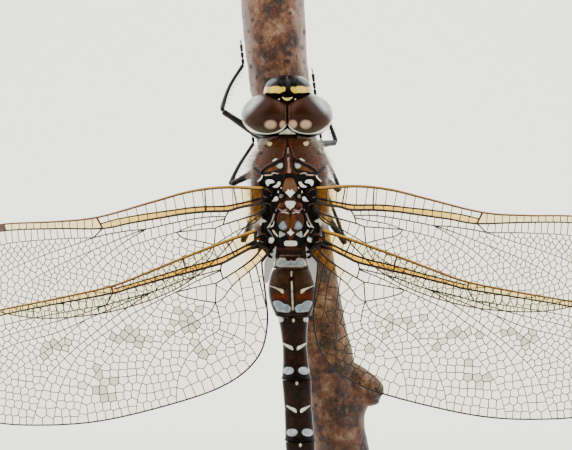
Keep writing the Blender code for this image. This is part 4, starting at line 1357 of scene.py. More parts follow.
def build_thorax():
    """The thorax's shell: superellipse rings, then bands, seams and patches that paint and raise it."""
    rows, columns = 270, 330
    z = np.linspace(THORAX[-1, 0], THORAX[0, 0], rows)
    half, back, breast = thorax_section(z)
    across, deep = superellipse(circle(columns), THORAX_POWER)
    x = half[:, None] * across
    y = ((back + breast) / 2)[:, None] + ((breast - back) / 2)[:, None] * deep
    points = grid_points(x, y, z)
    flat = np.stack([np.abs(points[:, 0] - thorax_middle(points[:, 2])), points[:, 2]], 1)
    seen = soft_step(-np.tile(deep, rows) - 0.45, 0.3)
    sideways = soft_step(np.abs(np.tile(across, rows)) - 0.72, 0.25) * soft_step(points[:, 1] + 2.3, 0.6)
    paint, relief = Paint(len(points), SHELL_BROWN), np.zeros(len(points))
    paint.coat(hump(points[:, 2] - 7.9, 0.9) * 0.35, "#4E2A10")
    paint.coat(soft_step(flat[:, 0] - 2.4, 1.4) * soft_step(points[:, 2] - 4.9, 1.0) * 0.5, "#5C3626")
    profile = points[:, 1:]
    for line, half_width, colour in SIDE_BANDS:
        gap = nearest_on_line(profile, smooth_line(line, 0.2))[0].min(1)
        paint.coat(soft_step(half_width - gap, 0.12) * sideways, colour)
        relief += 0.05 * soft_step(half_width - gap, 0.4) * sideways
    for line in SIDE_SEAMS:
        gap = nearest_on_line(profile, smooth_line(line, 0.2))[0].min(1)
        paint.coat(hump(gap, 0.13) * sideways, "#120D0B")
        relief -= 0.12 * hump(gap, 0.12) * sideways
    # Between the wing roots the flank is tan with dark spots, and white in front of the hindwing.
    flank = soft_step(flat[:, 0] - 2.75, 0.25)
    paint.coat(flank * soft_step(points[:, 2] - 0.85, 0.3) * soft_step(3.5 - points[:, 2], 0.3), "#6C4018")
    paint.coat(flank * hump(points[:, 2] - 0.45, 0.42), "#CDBEB0")
    for spot_out, spot_up, size in FLANK_SPOTS:
        spot = hump(np.hypot(flat[:, 0] - spot_out, (flat[:, 1] - spot_up) * 1.3), size)
        paint.coat(flank * spot * 0.9, "#3A2616")
    paint.coat(soft_step(-2.08 - points[:, 2], 0.1), "#38180C")
    paint.coat(soft_step(-2.45 - points[:, 2], 0.25) * 0.85, "#160D0A")
    paint.coat(soft_step(-2.0 - points[:, 2], 0.1) * soft_step(flat[:, 0] - 1.55, 0.2), "#B8A898")
    for outline, edge, height_over, colour in BACK_PATCHES:
        depth = depth_inside(flat, even_loop(outline, 0.1))
        paint.coat(soft_step(depth, 0.05) * seen, colour)
        relief += height_over * np.sin(np.clip(depth / edge, 0, 1) * math.pi / 2) * seen
    for line, half_width, height_over, colour in BACK_LINES:
        gap = nearest_on_line(flat, smooth_line(line, 0.1))[0].min(1)
        paint.coat(soft_step(half_width - gap, 0.05) * seen, colour)
        relief += height_over * hump(gap, half_width * 1.1) * seen
    gap = nearest_on_line(flat, smooth_line(SHOULDER_LINE, 0.1))[0].min(1)
    back_half = points[:, 1] < 0.5
    paint.coat(soft_step(0.16 - gap, 0.12) * back_half, "#0E0D14")
    relief -= 0.10 * hump(gap, 0.14) * back_half
    outward = unit(np.stack([np.tile(across, rows) / half.repeat(columns),
                             np.tile(deep, rows) / ((breast - back) / 2).repeat(columns),
                             np.zeros(len(points))], 1))
    piece = new_mesh("thorax_shell", points + outward * relief[:, None], ring_faces(rows, columns))
    finish_piece(piece, shell_cuticle, "thorax", "thorax", paint=paint.colours)


build_thorax()

# %% [markdown]
# Between the wings lie the pale plates that make the pattern of a hawker's back. They stand a tenth
# of a millimetre proud of the black hollows round them, so each is a small cushion of its own.

# %% Plates between the wings
PAIRED_PLATES = [
    ([(1.46, 4.08), (1.60, 4.31), (1.95, 4.38), (2.27, 4.25), (2.27, 3.92), (2.10, 3.72),
      (1.94, 3.92), (1.76, 4.0)], 0.16, "#E4E8DC"),
    ([(0.86, 4.10), (1.07, 4.17), (1.21, 3.98), (1.39, 3.82), (1.66, 3.68), (1.46, 3.58),
      (1.13, 3.63), (0.93, 3.85)], 0.14, "#E9E4D2"),
    ([(1.13, 2.56), (1.29, 2.76), (1.50, 2.69), (1.66, 2.42), (1.82, 2.26), (1.46, 2.24),
      (1.22, 2.34)], 0.42, "#E9E6DC"),
    ([(1.06, 3.22), (1.15, 3.30), (1.22, 3.18), (1.13, 3.04)], 0.10, "#D9CFA0"),
    ([(0.76, 3.60), (0.84, 3.66), (0.90, 3.55), (0.80, 3.48)], 0.10, "#E6E2DA"),
    ([(2.29, 0.34), (2.55, 0.54), (2.88, 0.49), (2.99, 0.06), (2.84, -0.08), (2.74, 0.20),
      (2.5, 0.26)], 0.15, "#C9CDBC"),
    ([(1.54, 0.40), (1.62, 0.30), (1.72, 0.0), (1.95, -0.18), (1.84, -0.22), (1.62, -0.05)],
      0.10, "#E2DCC6"),
    ([(1.90, 0.14), (1.98, 0.08), (2.06, -0.12), (2.28, -0.24), (2.18, -0.28), (1.98, -0.14)],
      0.09, "#E2DCC6"),
    ([(0.50, -0.88), (0.80, -0.68), (1.04, -0.58), (1.12, -0.9), (1.10, -1.2), (0.8, -1.1)],
      0.12, "#9CA096"),
    ([(1.22, -1.04), (1.34, -1.10), (1.74, -0.58), (1.62, -0.46), (1.44, -0.72)], 0.10, "#DCC89A"),
    ([(1.65, -1.21), (1.58, -1.45), (1.74, -1.72), (1.98, -1.90), (2.26, -1.92), (2.38, -1.74),
      (2.24, -1.42), (1.98, -1.18)], 0.66, "#E6E2D0"),
    ([(2.50, 4.98), (2.60, 4.96), (2.72, 4.62), (3.08, 4.22), (2.98, 4.16), (2.62, 4.50)],
      0.10, "#ECEAE6"),
]
MIDDLE_PLATES = [
    ([(0, 4.54), (0.30, 4.47), (0.53, 4.12), (0.72, 3.62), (0.70, 3.27), (0.40, 3.05), (0, 2.95)],
      0.34, "#5E340E"),
    ([(0, 3.38), (0.12, 3.38), (0.27, 3.60), (0.34, 3.30), (0.50, 3.12), (0.28, 2.94), (0, 2.62)],
      0.42, "#ECEAE2"),
    ([(0, 2.32), (0.40, 2.30), (0.53, 2.10), (0.34, 1.70), (0, 1.40)], 0.26, "#DAD6C2"),
    ([(0, -0.28), (0.15, -0.58), (0.38, -0.72), (0.20, -0.86), (0, -1.06)], 0.22, "#E2DDD2"),
    ([(0, -1.50), (0.50, -1.52), (0.64, -1.66), (0.62, -1.94), (0.50, -2.02), (0, -2.03)],
      0.24, "#DDD6C4"),
]


def build_plates():
    """All plates between the wings as one piece: the paired ones twice, the others whole."""
    shapes = []
    for points, rise, colour in PAIRED_PLATES:
        shape = closed_curve(points)
        shapes += [(shape, rise, colour), (mirrored(shape), rise, colour)]
    shapes += [(even_loop(from_half(points), 0.05), rise, colour) for points, rise, colour in MIDDLE_PLATES]
    entries = [(outline + np.stack([thorax_middle(outline[:, 1]), 0 * outline[:, 1]], 1), rise, colour)
               for outline, rise, colour in shapes]
    add_plates("wing_base_plates", entries, thorax_front, plate_cuticle, "thorax")


plate_cuticle = painted_cuticle("waxy_pale_plate_cuticle", 0.34, 0.30, 0.08, 5000.0, 0.010)
build_plates()

# %% [markdown]
# A wing turns on a knot of small black hinge plates, and its veins start there, thick as ropes. Soft
# brown skin joins the wing's root to the side of the back: rings of flat ovals, each larger than the
# last. A handful of lumps lies on it, with one bar for the root of each long vein.

# %% Wing hinges
# Lumps: out and up from the hinge, height over the wing plane, three radii, degrees turned, colour.
HINGE_LUMPS = [
    (-0.35, 0.16, -0.05, (0.50, 0.11, 0.18), 14, "#0A0808"),
    (-0.30, -0.62, -0.05, (0.45, 0.12, 0.16), 24, "#0A0808"),
    (-0.60, -0.25, -0.12, (0.36, 0.12, 0.28), -10, "#0C0909"),
    (-1.18, -1.22, -0.30, (0.34, 0.11, 0.18), -18, "#0A0808"),
    (-1.16, -1.74, -0.34, (0.30, 0.10, 0.14), -28, "#0C0909"),
    (0.0, -0.08, 0.0, (0.34, 0.10, 0.11), 20, "#7A3408"),
    (-0.25, -1.05, 0.04, (0.26, 0.10, 0.10), 12, "#2A1810"),
    (-0.90, 0.26, -0.40, (0.34, 0.10, 0.18), 30, "#0C0909"),
    (-0.95, -0.95, -0.48, (0.34, 0.10, 0.22), 40, "#0C0909"),
    (-0.50, 0.46, -0.16, (0.32, 0.10, 0.10), -12, "#3A2418"),
    (-1.05, -0.40, -0.52, (0.26, 0.10, 0.34), 18, "#0A0808"),
    (-0.90, -1.45, -0.42, (0.30, 0.10, 0.18), -40, "#0A0808"),
]
# Bars, the roots of the long veins: three places out and up, the thickness at both ends and the colour.
HINGE_BARS = [
    ((1.1, -0.66), (0.1, -0.46), (-0.75, -0.34), (0.11, 0.14), "#0A0707"),
    ((1.0, -1.00), (0.0, -0.84), (-0.80, -0.84), (0.14, 0.16), "#0A0707"),
    ((-0.90, -1.00), (-1.15, -0.96), (-1.40, -0.80), (0.11, 0.10), "#0A0707"),
    ((-1.05, -1.50), (-1.20, -1.36), (-1.35, -1.18), (0.09, 0.08), "#0A0707"),
    ((-0.1, -0.12), (-0.5, -0.36), (-1.0, -0.14), (0.04, 0.03), "#7A5E4C"),
    ((-0.2, -0.98), (-0.6, -0.92), (-1.0, -1.20), (0.04, 0.03), "#6A4630"),
    ((-0.3, 0.34), (-0.6, 0.40), (-1.0, 0.02), (0.045, 0.03), "#5A3016"),
]
# Rings of the skin: out from the hinge, middle's place up, half width, height, half thickness.
HINGE_SKIN = np.array([
    (-0.05, -0.25, 0.48, -0.25, 0.10), (-0.50, -0.45, 0.75, -0.52, 0.24), (-1.00, -0.85, 1.02, -1.00, 0.36),
    (-1.80, -0.80, 1.08, -1.60, 0.66)])


def hinge_skin(wing, side):
    """The soft skin that joins thorax and wing: flat ovals from the wing's root inwards. Each ring is
    centre + (half width * cos, half thickness * sin), its four numbers read off HINGE_SKIN."""
    rows, columns = 18, 32
    inwards = np.linspace(HINGE_SKIN[0, 0], HINGE_SKIN[-1, 0], rows)
    shares = (inwards - inwards[0]) / (inwards[-1] - inwards[0])
    known = (HINGE_SKIN[:, 0] - inwards[0]) / (inwards[-1] - inwards[0])
    up, width, over, thick = (np.interp(shares, known, numbers)[:, None] for numbers in HINGE_SKIN.T[1:])
    turn = np.linspace(0, 2 * math.pi, columns, endpoint=False)
    flat = np.stack([(inwards[:, None] + 0 * turn).ravel(), (up + width * np.cos(turn)).ravel()], 1)
    return on_wing(wing, side, flat, (over + thick * np.sin(turn)).ravel()), rows, columns


def build_hinge(kind, wing, side, side_name):
    """The skin, the lumps and the bars at one wing's root, as one piece."""
    points, rows, columns = hinge_skin(wing, side)
    parts = [(points, ring_faces(rows, columns, flip=side > 0))]
    colours = [plain_paint("#24150E", len(points))]
    for out, up, over, radii, degrees, colour in HINGE_LUMPS:
        lump = turned(ellipsoid_grid(14, 20) * np.array(radii), side * degrees, "y")
        lump = turned(lump, side * wing["droop"] * 0.6)
        centre = on_wing(wing, side, np.array([[out, up]]), np.array([over]))[0]
        parts.append((lump + centre, ring_faces(14, 20)))
        colours.append(plain_paint(colour, len(lump)))
    for *places, radii, colour in HINGE_BARS:
        line = on_wing(wing, side, np.array(places), np.array([0.02, 0.0, -0.30]))
        parts.append(limb(line, radii, 12, 0.12))
        colours.append(plain_paint(colour, len(parts[-1][0])))
    piece = join_parts(f"{kind}_{side_name}_hinge", parts)
    finish_piece(piece, shell_cuticle, "thorax", paint=np.vstack(colours))


for side, side_name in SIDES:
    build_hinge("forewing", FORE, side, side_name)
    build_hinge("hindwing", HIND, side, side_name)

# %% [markdown]
# At each hindwing's inner edge, next to the abdomen, is a membranule: a small opaque flap, greyish
# white, that seals the gap in flight. It is a thin cushion like the plates above.

# %% Membranules
FLAP = [(1.42, -2.12), (1.60, -2.22), (2.12, -2.95), (2.52, -3.50), (2.56, -4.30), (2.54, -5.10),
        (2.40, -5.62), (2.12, -5.30), (1.92, -4.60), (1.70, -4.00), (1.55, -3.30)]


def flap_front(x, z):
    """Level with the wing along its outer edge, and sloping down to the body from there."""
    return -3.18 + 0.36 * (2.56 - np.abs(x))


flap = closed_curve(FLAP, 0.08)
FLAPS = [(outline + np.array([0.13, 0.0]), 0.04, "#A8A29C") for outline in (flap, mirrored(flap))]
add_plates("membranules", FLAPS, flap_front, plate_cuticle, "wing")

# %% [markdown]
# ## Abdomen
# Ten rings slide in one another like a telescope. The first two are swollen, the third pinched, the
# rest straight. Each ring is its own plate: a grid from its front edge to its rear edge, with a low
# collar at the rear where it overlaps the next. The marks repeat from ring to ring: a dot and a pair
# of wedges in front, a pair of blue-grey spots behind, all edged with black.

# %% Segments
ABDOMEN_TOP, SEGMENT_GAP = -3.0, 0.06
SEGMENTS = ((1.25, 1.55, 1.60, 1.75, 1.60), (4.70, 1.78, 2.30, 1.60, 2.05), (6.10, 1.50, 1.20, 1.45, 1.30),
            (6.00, 1.44, 1.36, 1.46, 1.25), (5.80, 1.46, 1.38, 1.46, 1.22), (5.50, 1.45, 1.38, 1.45, 1.20),
            (4.60, 1.44, 1.38, 1.44, 1.18), (3.20, 1.43, 1.42, 1.40, 1.15), (2.50, 1.40, 1.36, 1.28, 1.12),
            (1.50, 1.26, 1.22, 1.10, 1.00))
LIMB_POWER = 2.1


def abdomen_line(z):
    """Middle of the abdomen at given heights: it drifts to the right and away from the viewer."""
    down = np.maximum(0.0, ABDOMEN_TOP - np.asarray(z, float))
    return 0.15 + 0.06 * down ** 2 / (down + 4), 0.20 + 0.02 * down + 0.0006 * down ** 2


def mark_first(paint, flat):
    """Segment 1: red-brown in front, then black, then a blue-grey band with a cream edge."""
    paint.coat(soft_step(flat[:, 1] + 3.05, 0.12), "#44241A")
    band = from_half([(0, -3.38), (0.10, -3.50), (0.42, -3.47), (0.60, -3.20), (1.05, -3.16), (1.38, -3.42),
                      (1.50, -3.90), (1.12, -4.06), (0, -4.05)])
    depth = depth_inside(flat, band)
    paint.coat(soft_step(depth, 0.10), "#C4BAA8")
    paint.coat(soft_step(depth - 0.13, 0.12), "#8FA0AA")


def mark_second(paint, flat):
    """Segment 2: mottled red-brown, a cream keel line, two wedges across, and blue patches behind."""
    z = flat[:, 1]
    out = np.abs(flat[:, 0])
    half = np.stack([out, z], 1)
    paint.coat(hump(z + 5.2, 0.85) * soft_step(out - 0.25, 0.3) * 0.9, "#3E281C")
    paint.coat(hump(z + 6.9, 0.30) * soft_step(out - 0.5, 0.3) * soft_step(1.9 - out, 0.3), "#5A2008")
    paint.coat(soft_step(0.20 - out, 0.12) * 0.9, "#0C0808")
    for top, bottom, width in ((-4.50, -4.88, 0.09), (-5.50, -6.15, 0.08), (-6.22, -6.70, 0.07),
                               (-6.70, -8.20, 0.045)):
        line = np.array([(0, top), (0, bottom)])
        paint.coat(soft_step(width - nearest_on_line(half, line)[0].min(1), 0.05), "#DCC69C")
    patch = closed_curve([(0.22, -7.98), (0.50, -7.70), (0.87, -7.62), (1.24, -7.36), (1.71, -7.34),
                          (1.90, -7.55), (1.62, -8.15), (1.45, -8.34), (0.5, -8.44), (0.27, -8.26)])
    depth = depth_inside(half, patch)
    paint.coat(soft_step(depth + 0.12, 0.10) * soft_step(z + 8.35, 0.1), "#0C0908")
    paint.coat(soft_step(depth, 0.05), "#A9B3BC")
    paint.coat(soft_step(depth - 0.12, 0.14), "#7F8F9E")
    wedge = closed_curve([(0.85, -6.28), (0.86, -6.64), (1.10, -6.48), (1.45, -6.20), (2.16, -5.90),
                          (2.15, -5.86), (1.35, -6.10)])
    depth = depth_inside(half, wedge)
    paint.coat(soft_step(depth + 0.09, 0.08), "#0C0908")
    paint.coat(soft_step(depth, 0.05), "#E4CFA8")
    paint.coat(soft_step(z + 8.50, -0.08), "#0C0908")
    paint.coat(hump(z + 8.72, 0.12) * soft_step(1.1 - out, 0.3) * 0.6, "#3A2A1E")


def mark_later(paint, flat, share, length, fade):
    """Segments 3 to 10, by share of the length: dot, wedges, rear spots and a black ring."""
    out = np.abs(flat[:, 0])
    half = np.stack([out, share * length], 1)
    paint.coat(hump(out - 0.75, 0.4) * hump(share - 0.30, 0.14) * 0.7, "#301C14")
    paint.coat(hump(out - 0.6, 0.4) * hump(share - 0.66, 0.10) * 0.5, "#34180E")
    paint.coat(oval(half, (0, 0.24), (0.10, 0.17), softness=0.4), "#E0D2A8")
    wedge_at = length * 0.47
    wedge = closed_curve([(0.22, wedge_at + 0.30), (0.24, wedge_at - 0.02), (0.55, wedge_at - 0.18),
                          (1.10, wedge_at - 0.38), (1.14, wedge_at - 0.30), (0.70, wedge_at + 0.04)])
    depth = depth_inside(half, wedge)
    paint.coat(soft_step(depth + 0.10, 0.08), "#0B0808")
    paint.coat(soft_step(depth, 0.05) * fade, "#E2DCC8")
    rear = oval(half, (0.76, length - 0.92), (0.66 * fade, 0.46 * fade), 8.0, 0.12)
    paint.coat(rear, "#0B0808")
    paint.coat(oval(half, (0.76, length - 0.92), (0.54 * fade, 0.36 * fade), 8.0, 0.14), "#A9AEB4")
    paint.coat(hump(share * length - length + 0.18, 0.24), "#0A0807")


def build_segment(number, top, sizes):
    """One segment: rings whose half width is a parabola through its front, middle and rear."""
    length, front_half, middle_half, rear_half, half_depth = sizes
    rows, columns = max(24, int(length * 17)), 132
    share = np.linspace(0, 1, rows)
    z = top - SEGMENT_GAP / 2 - share * (length - SEGMENT_GAP)
    half = front_half * (1 - share) ** 2 + rear_half * share ** 2
    half += 2 * share * (1 - share) * (2 * middle_half - (front_half + rear_half) / 2)
    depth = half_depth * half / middle_half
    edge_front, edge_rear = share * length, (1 - share) * length
    collar = 0.06 * hump(edge_rear - 0.16, 0.14) - 0.05 * hump(edge_front, 0.10)
    collar -= 0.07 * hump(edge_rear, 0.04)
    across, deep = superellipse(circle(columns), LIMB_POWER)
    middle_x, middle_y = abdomen_line(z)
    keel = 0.07 * hump(across, 0.09) * (deep < 0)
    waist = 0.05 * hump(share - 0.47, 0.035)[:, None] * (deep < 0.2) * (number > 2)
    grow = collar[:, None] + keel * soft_step(edge_rear - 0.3, 0.3)[:, None] - waist
    x = middle_x[:, None] + (half[:, None] + grow) * across
    y = middle_y[:, None] + (depth[:, None] + grow) * deep
    points = grid_points(x, y, z)
    flat = np.stack([points[:, 0] - middle_x.repeat(columns), points[:, 2]], 1)
    along = share.repeat(columns)
    paint = Paint(len(points), "#1C120D" if number > 2 else "#281A13")
    back = soft_step(-np.tile(deep, rows) - 0.02, 0.2)
    ground = paint.colours.copy()
    if number == 1:
        mark_first(paint, flat)
    elif number == 2:
        mark_second(paint, flat)
    else:
        mark_later(paint, flat, along, length, 1.0 if number < 9 else 0.75)
    paint.colours = ground + (paint.colours - ground) * back[:, None]
    low = soft_step(0.15 - np.abs(np.tile(deep, rows) + 0.12), 0.12) * soft_step(0.86 - along, 0.12)
    paint.coat(low * (0.75 if number > 1 else 0.3), "#8E8088")
    paint.coat(soft_step(np.tile(deep, rows) - 0.30, 0.2) * soft_step(0.9 - along, 0.1) * 0.6, "#4A3A30")
    if number == 3:
        corner = oval(np.abs(flat), (1.42, 9.05), (0.46, 0.30), -25, 0.3)
        paint.coat(corner * back, "#D8C6C4")
    piece = new_mesh(f"tail_ring_{number}", points, ring_faces(rows, columns, flip=True))
    finish_piece(piece, tail_cuticle, "abdomen", f"abdomen_{number}", paint=paint.colours)


segment_top = ABDOMEN_TOP
for number, sizes in enumerate(SEGMENTS, start=1):
    build_segment(number, segment_top, sizes)
    segment_top -= sizes[0]
print("abdomen ends at", round(segment_top, 2), "mm")

# %% [markdown]
# At the tip of a male's abdomen are three claspers: two long leaf-like ones above and a short one
# below. Each is a row of flattened rings along a bent middle line, with a keel down its back.

# %% Claspers
def build_clasper(name, node, side, length, half_width, out, lift, thickness):
    """half_width, out and lift are functions of the share of the length."""
    rows, columns = 60, 36
    share = np.linspace(0, 1, rows)
    z = segment_top + 0.25 - share * (length + 0.25)
    tip = np.sqrt(np.clip(1 - np.clip((share - 0.90) / 0.10, 0, 1) ** 2, 0.004, 1))
    middle_x, middle_y = (float(value) for value in abdomen_line(segment_top))
    across, deep = superellipse(circle(columns), 2.0)
    width = half_width(share) * tip
    x = middle_x + side * out(share)[:, None] + width[:, None] * across
    keel = 0.08 * hump(across, 0.2) * (deep < 0) * np.sin(math.pi * share)[:, None]
    y = middle_y + lift(share)[:, None] + (thickness * tip)[:, None] * deep - keel
    points = grid_points(x, y, z)
    paint = Paint(len(points), "#1C120E")
    paint.coat(hump(points[:, 2] - segment_top + 0.4, 0.4) * 0.5, "#4A3424")
    piece = new_mesh(name, points, ring_faces(rows, columns, flip=True))
    finish_piece(piece, tail_cuticle, "appendage", node, paint=paint.colours)


for side, side_name in SIDES:
    build_clasper(f"upper_clasper_{side_name}", f"cercus_{side_name}", side, 4.6,
                  lambda t: 0.28 + 0.34 * np.sin(math.pi * np.minimum(1.0, 0.15 + 0.85 * t)) ** 1.2,
                  lambda t: 0.62 + 0.35 * np.sin(math.pi * t * 0.8),
                  lambda t: -0.25 - 0.30 * np.sin(math.pi * t), 0.22)
build_clasper("lower_clasper", "epiproct", 1, 2.6, lambda t: 0.62 - 0.34 * t, lambda t: 0 * t,
              lambda t: 0.50 + 0.15 * t, 0.24)

# %% [markdown]
# ## Legs
# A dragonfly's legs make a basket for catching flies: long, thin and set with two rows of spines.
# Here they hold the branch. Each leg has a thigh and a shin, and a foot of three short joints with
# two claws that hook into the bark. Spines are thin cones, all made at once as one array.

# %% Branch line and leg spines
BRANCH_LINE = np.array([(26.5, -2.05, 6.0), (16.0, -1.25, 7.9), (0.0, 0.95, 11.2), (-12.0, 3.10, 13.9),
                        (-22.0, 5.05, 16.2), (-28.5, 6.40, 17.8)])[::-1]
BRANCH_BOTTOM, BRANCH_TOP = -28.5, 26.5
FOOT_REACH = 0.39


def branch_line(z):
    """Middle of the branch: the bent line averaged over 3 mm up and down."""
    near = np.clip(np.asarray(z, float)[..., None] + np.linspace(-3, 3, 5), BRANCH_BOTTOM, BRANCH_TOP)
    x, y = (np.interp(near, BRANCH_LINE[:, 0], BRANCH_LINE[:, column]).mean(-1) for column in (1, 2))
    return np.stack([x, y, np.asarray(z, float)], -1)


def branch_girth(z):
    """The branch's radius at given heights: it widens a little towards the top."""
    return np.interp(z, [BRANCH_BOTTOM, BRANCH_TOP], [2.85, 3.10])


def bark_point(z, degrees, reach):
    """A point off the bark: 0 degrees faces the viewer, positive turns to the insect's right."""
    turn = math.radians(degrees)
    return branch_line(z) + (branch_girth(z) + reach) * np.array([math.sin(turn), -math.cos(turn), 0.0])


def spikes(roots, middles, tips, radii, sides=3):
    """Bent tapering spikes, all at once: a ring at the root, a thinner ring halfway, and a point."""
    ahead = unit(tips - roots)
    guide = np.where(np.abs(ahead[:, 1:2]) < 0.9, [[0.0, 1.0, 0.0]], [[1.0, 0.0, 0.0]])
    ring = rings_round(ahead, guide, sides) * np.reshape(radii, (-1, 1, 1))
    points = np.concatenate([roots[:, None] + ring, middles[:, None] + 0.7 * ring, tips[:, None]], 1)
    walls = wall_faces(sides)
    ends = np.column_stack([walls[:, 3], walls[:, 2], np.full(sides, 2 * sides)])
    base = np.arange(len(roots))[:, None, None] * (2 * sides + 1)
    blocks = [(np.arange(sides)[None, ::-1] + base).reshape(-1, sides), (walls + base).reshape(-1, 4),
              (ends + base).reshape(-1, 3)]
    return points.reshape(-1, 3), blocks


def spine_rows(path, towards, count, length, radius, start=0.12, end=0.95):
    """Two rows of spines along a limb, splayed 35 degrees to either side of one direction."""
    share = np.linspace(start, end, count)
    even = even_line(path, 0.05)
    at = (share * (len(even) - 1)).astype(int)
    ahead = unit(np.gradient(even, axis=0)[at])
    inward = unit(towards - (ahead @ towards)[:, None] * ahead)
    aside = np.cross(ahead, inward)
    parts = []
    for sign in (-1, 1):
        lean = unit(inward * math.cos(0.6) + sign * aside * math.sin(0.6) + 0.45 * ahead)
        long = length * (0.75 + 0.35 * np.sin(math.pi * share))[:, None]
        roots = even[at] + lean * 0.08
        parts.append(spikes(roots, roots + lean * long * 0.5, roots + lean * long + ahead * 0.05, radius))
    return parts


# %% [markdown]
# The knees stand out beside the body and the shins run back in to the branch, so each shin bends a
# little outward. Thigh radii swell near the body, where the muscle is, and again at the knee.

# %% Six legs
# Hip, knee, degrees round the branch where the foot grips, heights of the ankle and of the claws.
LEGS = {
    "front_left": ((-1.35, 2.95, 7.70), (-6.60, 3.90, 11.20), -97, 16.0, 18.0),
    "front_right": ((1.25, 2.95, 7.70), (4.60, 7.40, 8.20), 92, 12.9, 15.1),
    "middle_left": ((-1.60, 4.40, 6.10), (-5.80, 5.60, 4.00), -86, 8.2, 10.2),
    "middle_right": ((1.60, 4.40, 6.10), (5.00, 8.00, 3.40), 84, 7.3, 9.4),
    "rear_left": ((-1.70, 5.05, 3.90), (-4.70, 7.60, -1.70), -80, 3.2, 5.2),
    "rear_right": ((1.70, 5.05, 3.90), (5.60, 8.40, -1.90), 78, 2.9, 4.9),
}


def build_leg(name, hip, knee, degrees, ankle_height, claw_height):
    """One leg as thigh, shin and foot, from its hip over the knee to the bark."""
    hip, knee = np.array(hip), np.array(knee)
    ankle, claw = (bark_point(height, degrees, FOOT_REACH) for height in (ankle_height, claw_height))
    thigh_way = unit(knee - hip)
    inward = branch_line((knee[2] + ankle[2]) / 2) - (knee + ankle) / 2
    coxa = ellipsoid_grid(18, 28) * np.array([0.62, 0.55, 0.66]) + hip + thigh_way * 0.1
    ring = ellipsoid_grid(14, 24) * np.array([0.44, 0.44, 0.40]) + hip + thigh_way * 0.75
    thigh = [hip + thigh_way * 0.5, hip + (knee - hip) * 0.35, hip + (knee - hip) * 0.7, knee]
    parts = [(coxa, ring_faces(18, 28)), (ring, ring_faces(14, 24)),
             limb(thigh, (0.42, 0.43, 0.41, 0.38, 0.34, 0.29, 0.31), 18, 0.12)]
    parts += spine_rows(np.array(thigh), inward, 9, 0.34, 0.035, 0.3, 0.92)
    finish_piece(join_parts(f"thigh_{name}", parts), leg_cuticle, "leg", f"femur_{name}")
    down = ankle - knee
    shin = [knee, knee + down * 0.12 + thigh_way * 0.20, knee + down * 0.5 + thigh_way * 0.35, ankle]
    parts = [limb(shin, (0.24, 0.22, 0.19, 0.18, 0.17, 0.17, 0.19), 14, 0.12)]
    parts += spine_rows(smooth_line(shin, 0.1), inward, 11, 0.85, 0.032)
    finish_piece(join_parts(f"shin_{name}", parts), leg_cuticle, "leg", f"tibia_{name}")
    parts, joint, foot = [], ankle, claw - ankle
    for share in (0.30, 0.62, 1.0):
        following = ankle + foot * share
        parts.append(limb([joint, (joint + following) / 2, following], (0.13, 0.15, 0.17), 12, 0.06))
        joint = following
    onward, to_bark = unit(foot), unit(branch_line(claw_height) - claw)
    aside = np.outer((-1, 1), np.cross(onward, to_bark))
    parts.append(spikes(claw + aside * 0.08, claw + aside * 0.22 + onward * 0.38,
                        claw + aside * 0.26 + onward * 0.52 + to_bark * 0.26, 0.07, 6))
    pads = ankle + np.outer((0.2, 0.45, 0.8), foot)
    parts.append(spikes(pads, pads + to_bark * 0.1 + onward * 0.1,
                        pads + to_bark * 0.2 + onward * 0.25, 0.05))
    finish_piece(join_parts(f"foot_{name}", parts), leg_cuticle, "leg", f"tarsus_{name}")


for name, leg in LEGS.items():
    build_leg(name, *leg)

# %% [markdown]
# ## Hair
# Migrant hawkers have a short pale fur on the thorax, thickest at its front corners and down the
# sides, which keeps the flight muscles warm. A real hair is 0.01 mm thick, too thin to see singly, so
# each blade here stands for a few and is 0.03 mm thick. Hairs start at random places on the skin,
# along the surface normal with a lean towards the tail.

# %% Thorax hair
def thorax_skin(turns, z):
    """Points and outward directions on the thorax at angles round it and heights up it."""
    half, back, breast = thorax_section(z)
    across, deep = superellipse(turns, THORAX_POWER)
    reach = (breast - back) / 2
    points = np.stack([half * across, (back + breast) / 2 + reach * deep, z], 1)
    normals = np.stack([np.sign(across) * np.abs(across) ** (THORAX_POWER - 1) / half,
                        np.sign(deep) * np.abs(deep) ** (THORAX_POWER - 1) / reach, 0 * z], 1)
    return points, unit(normals)


HAIR_TRIES = 11000


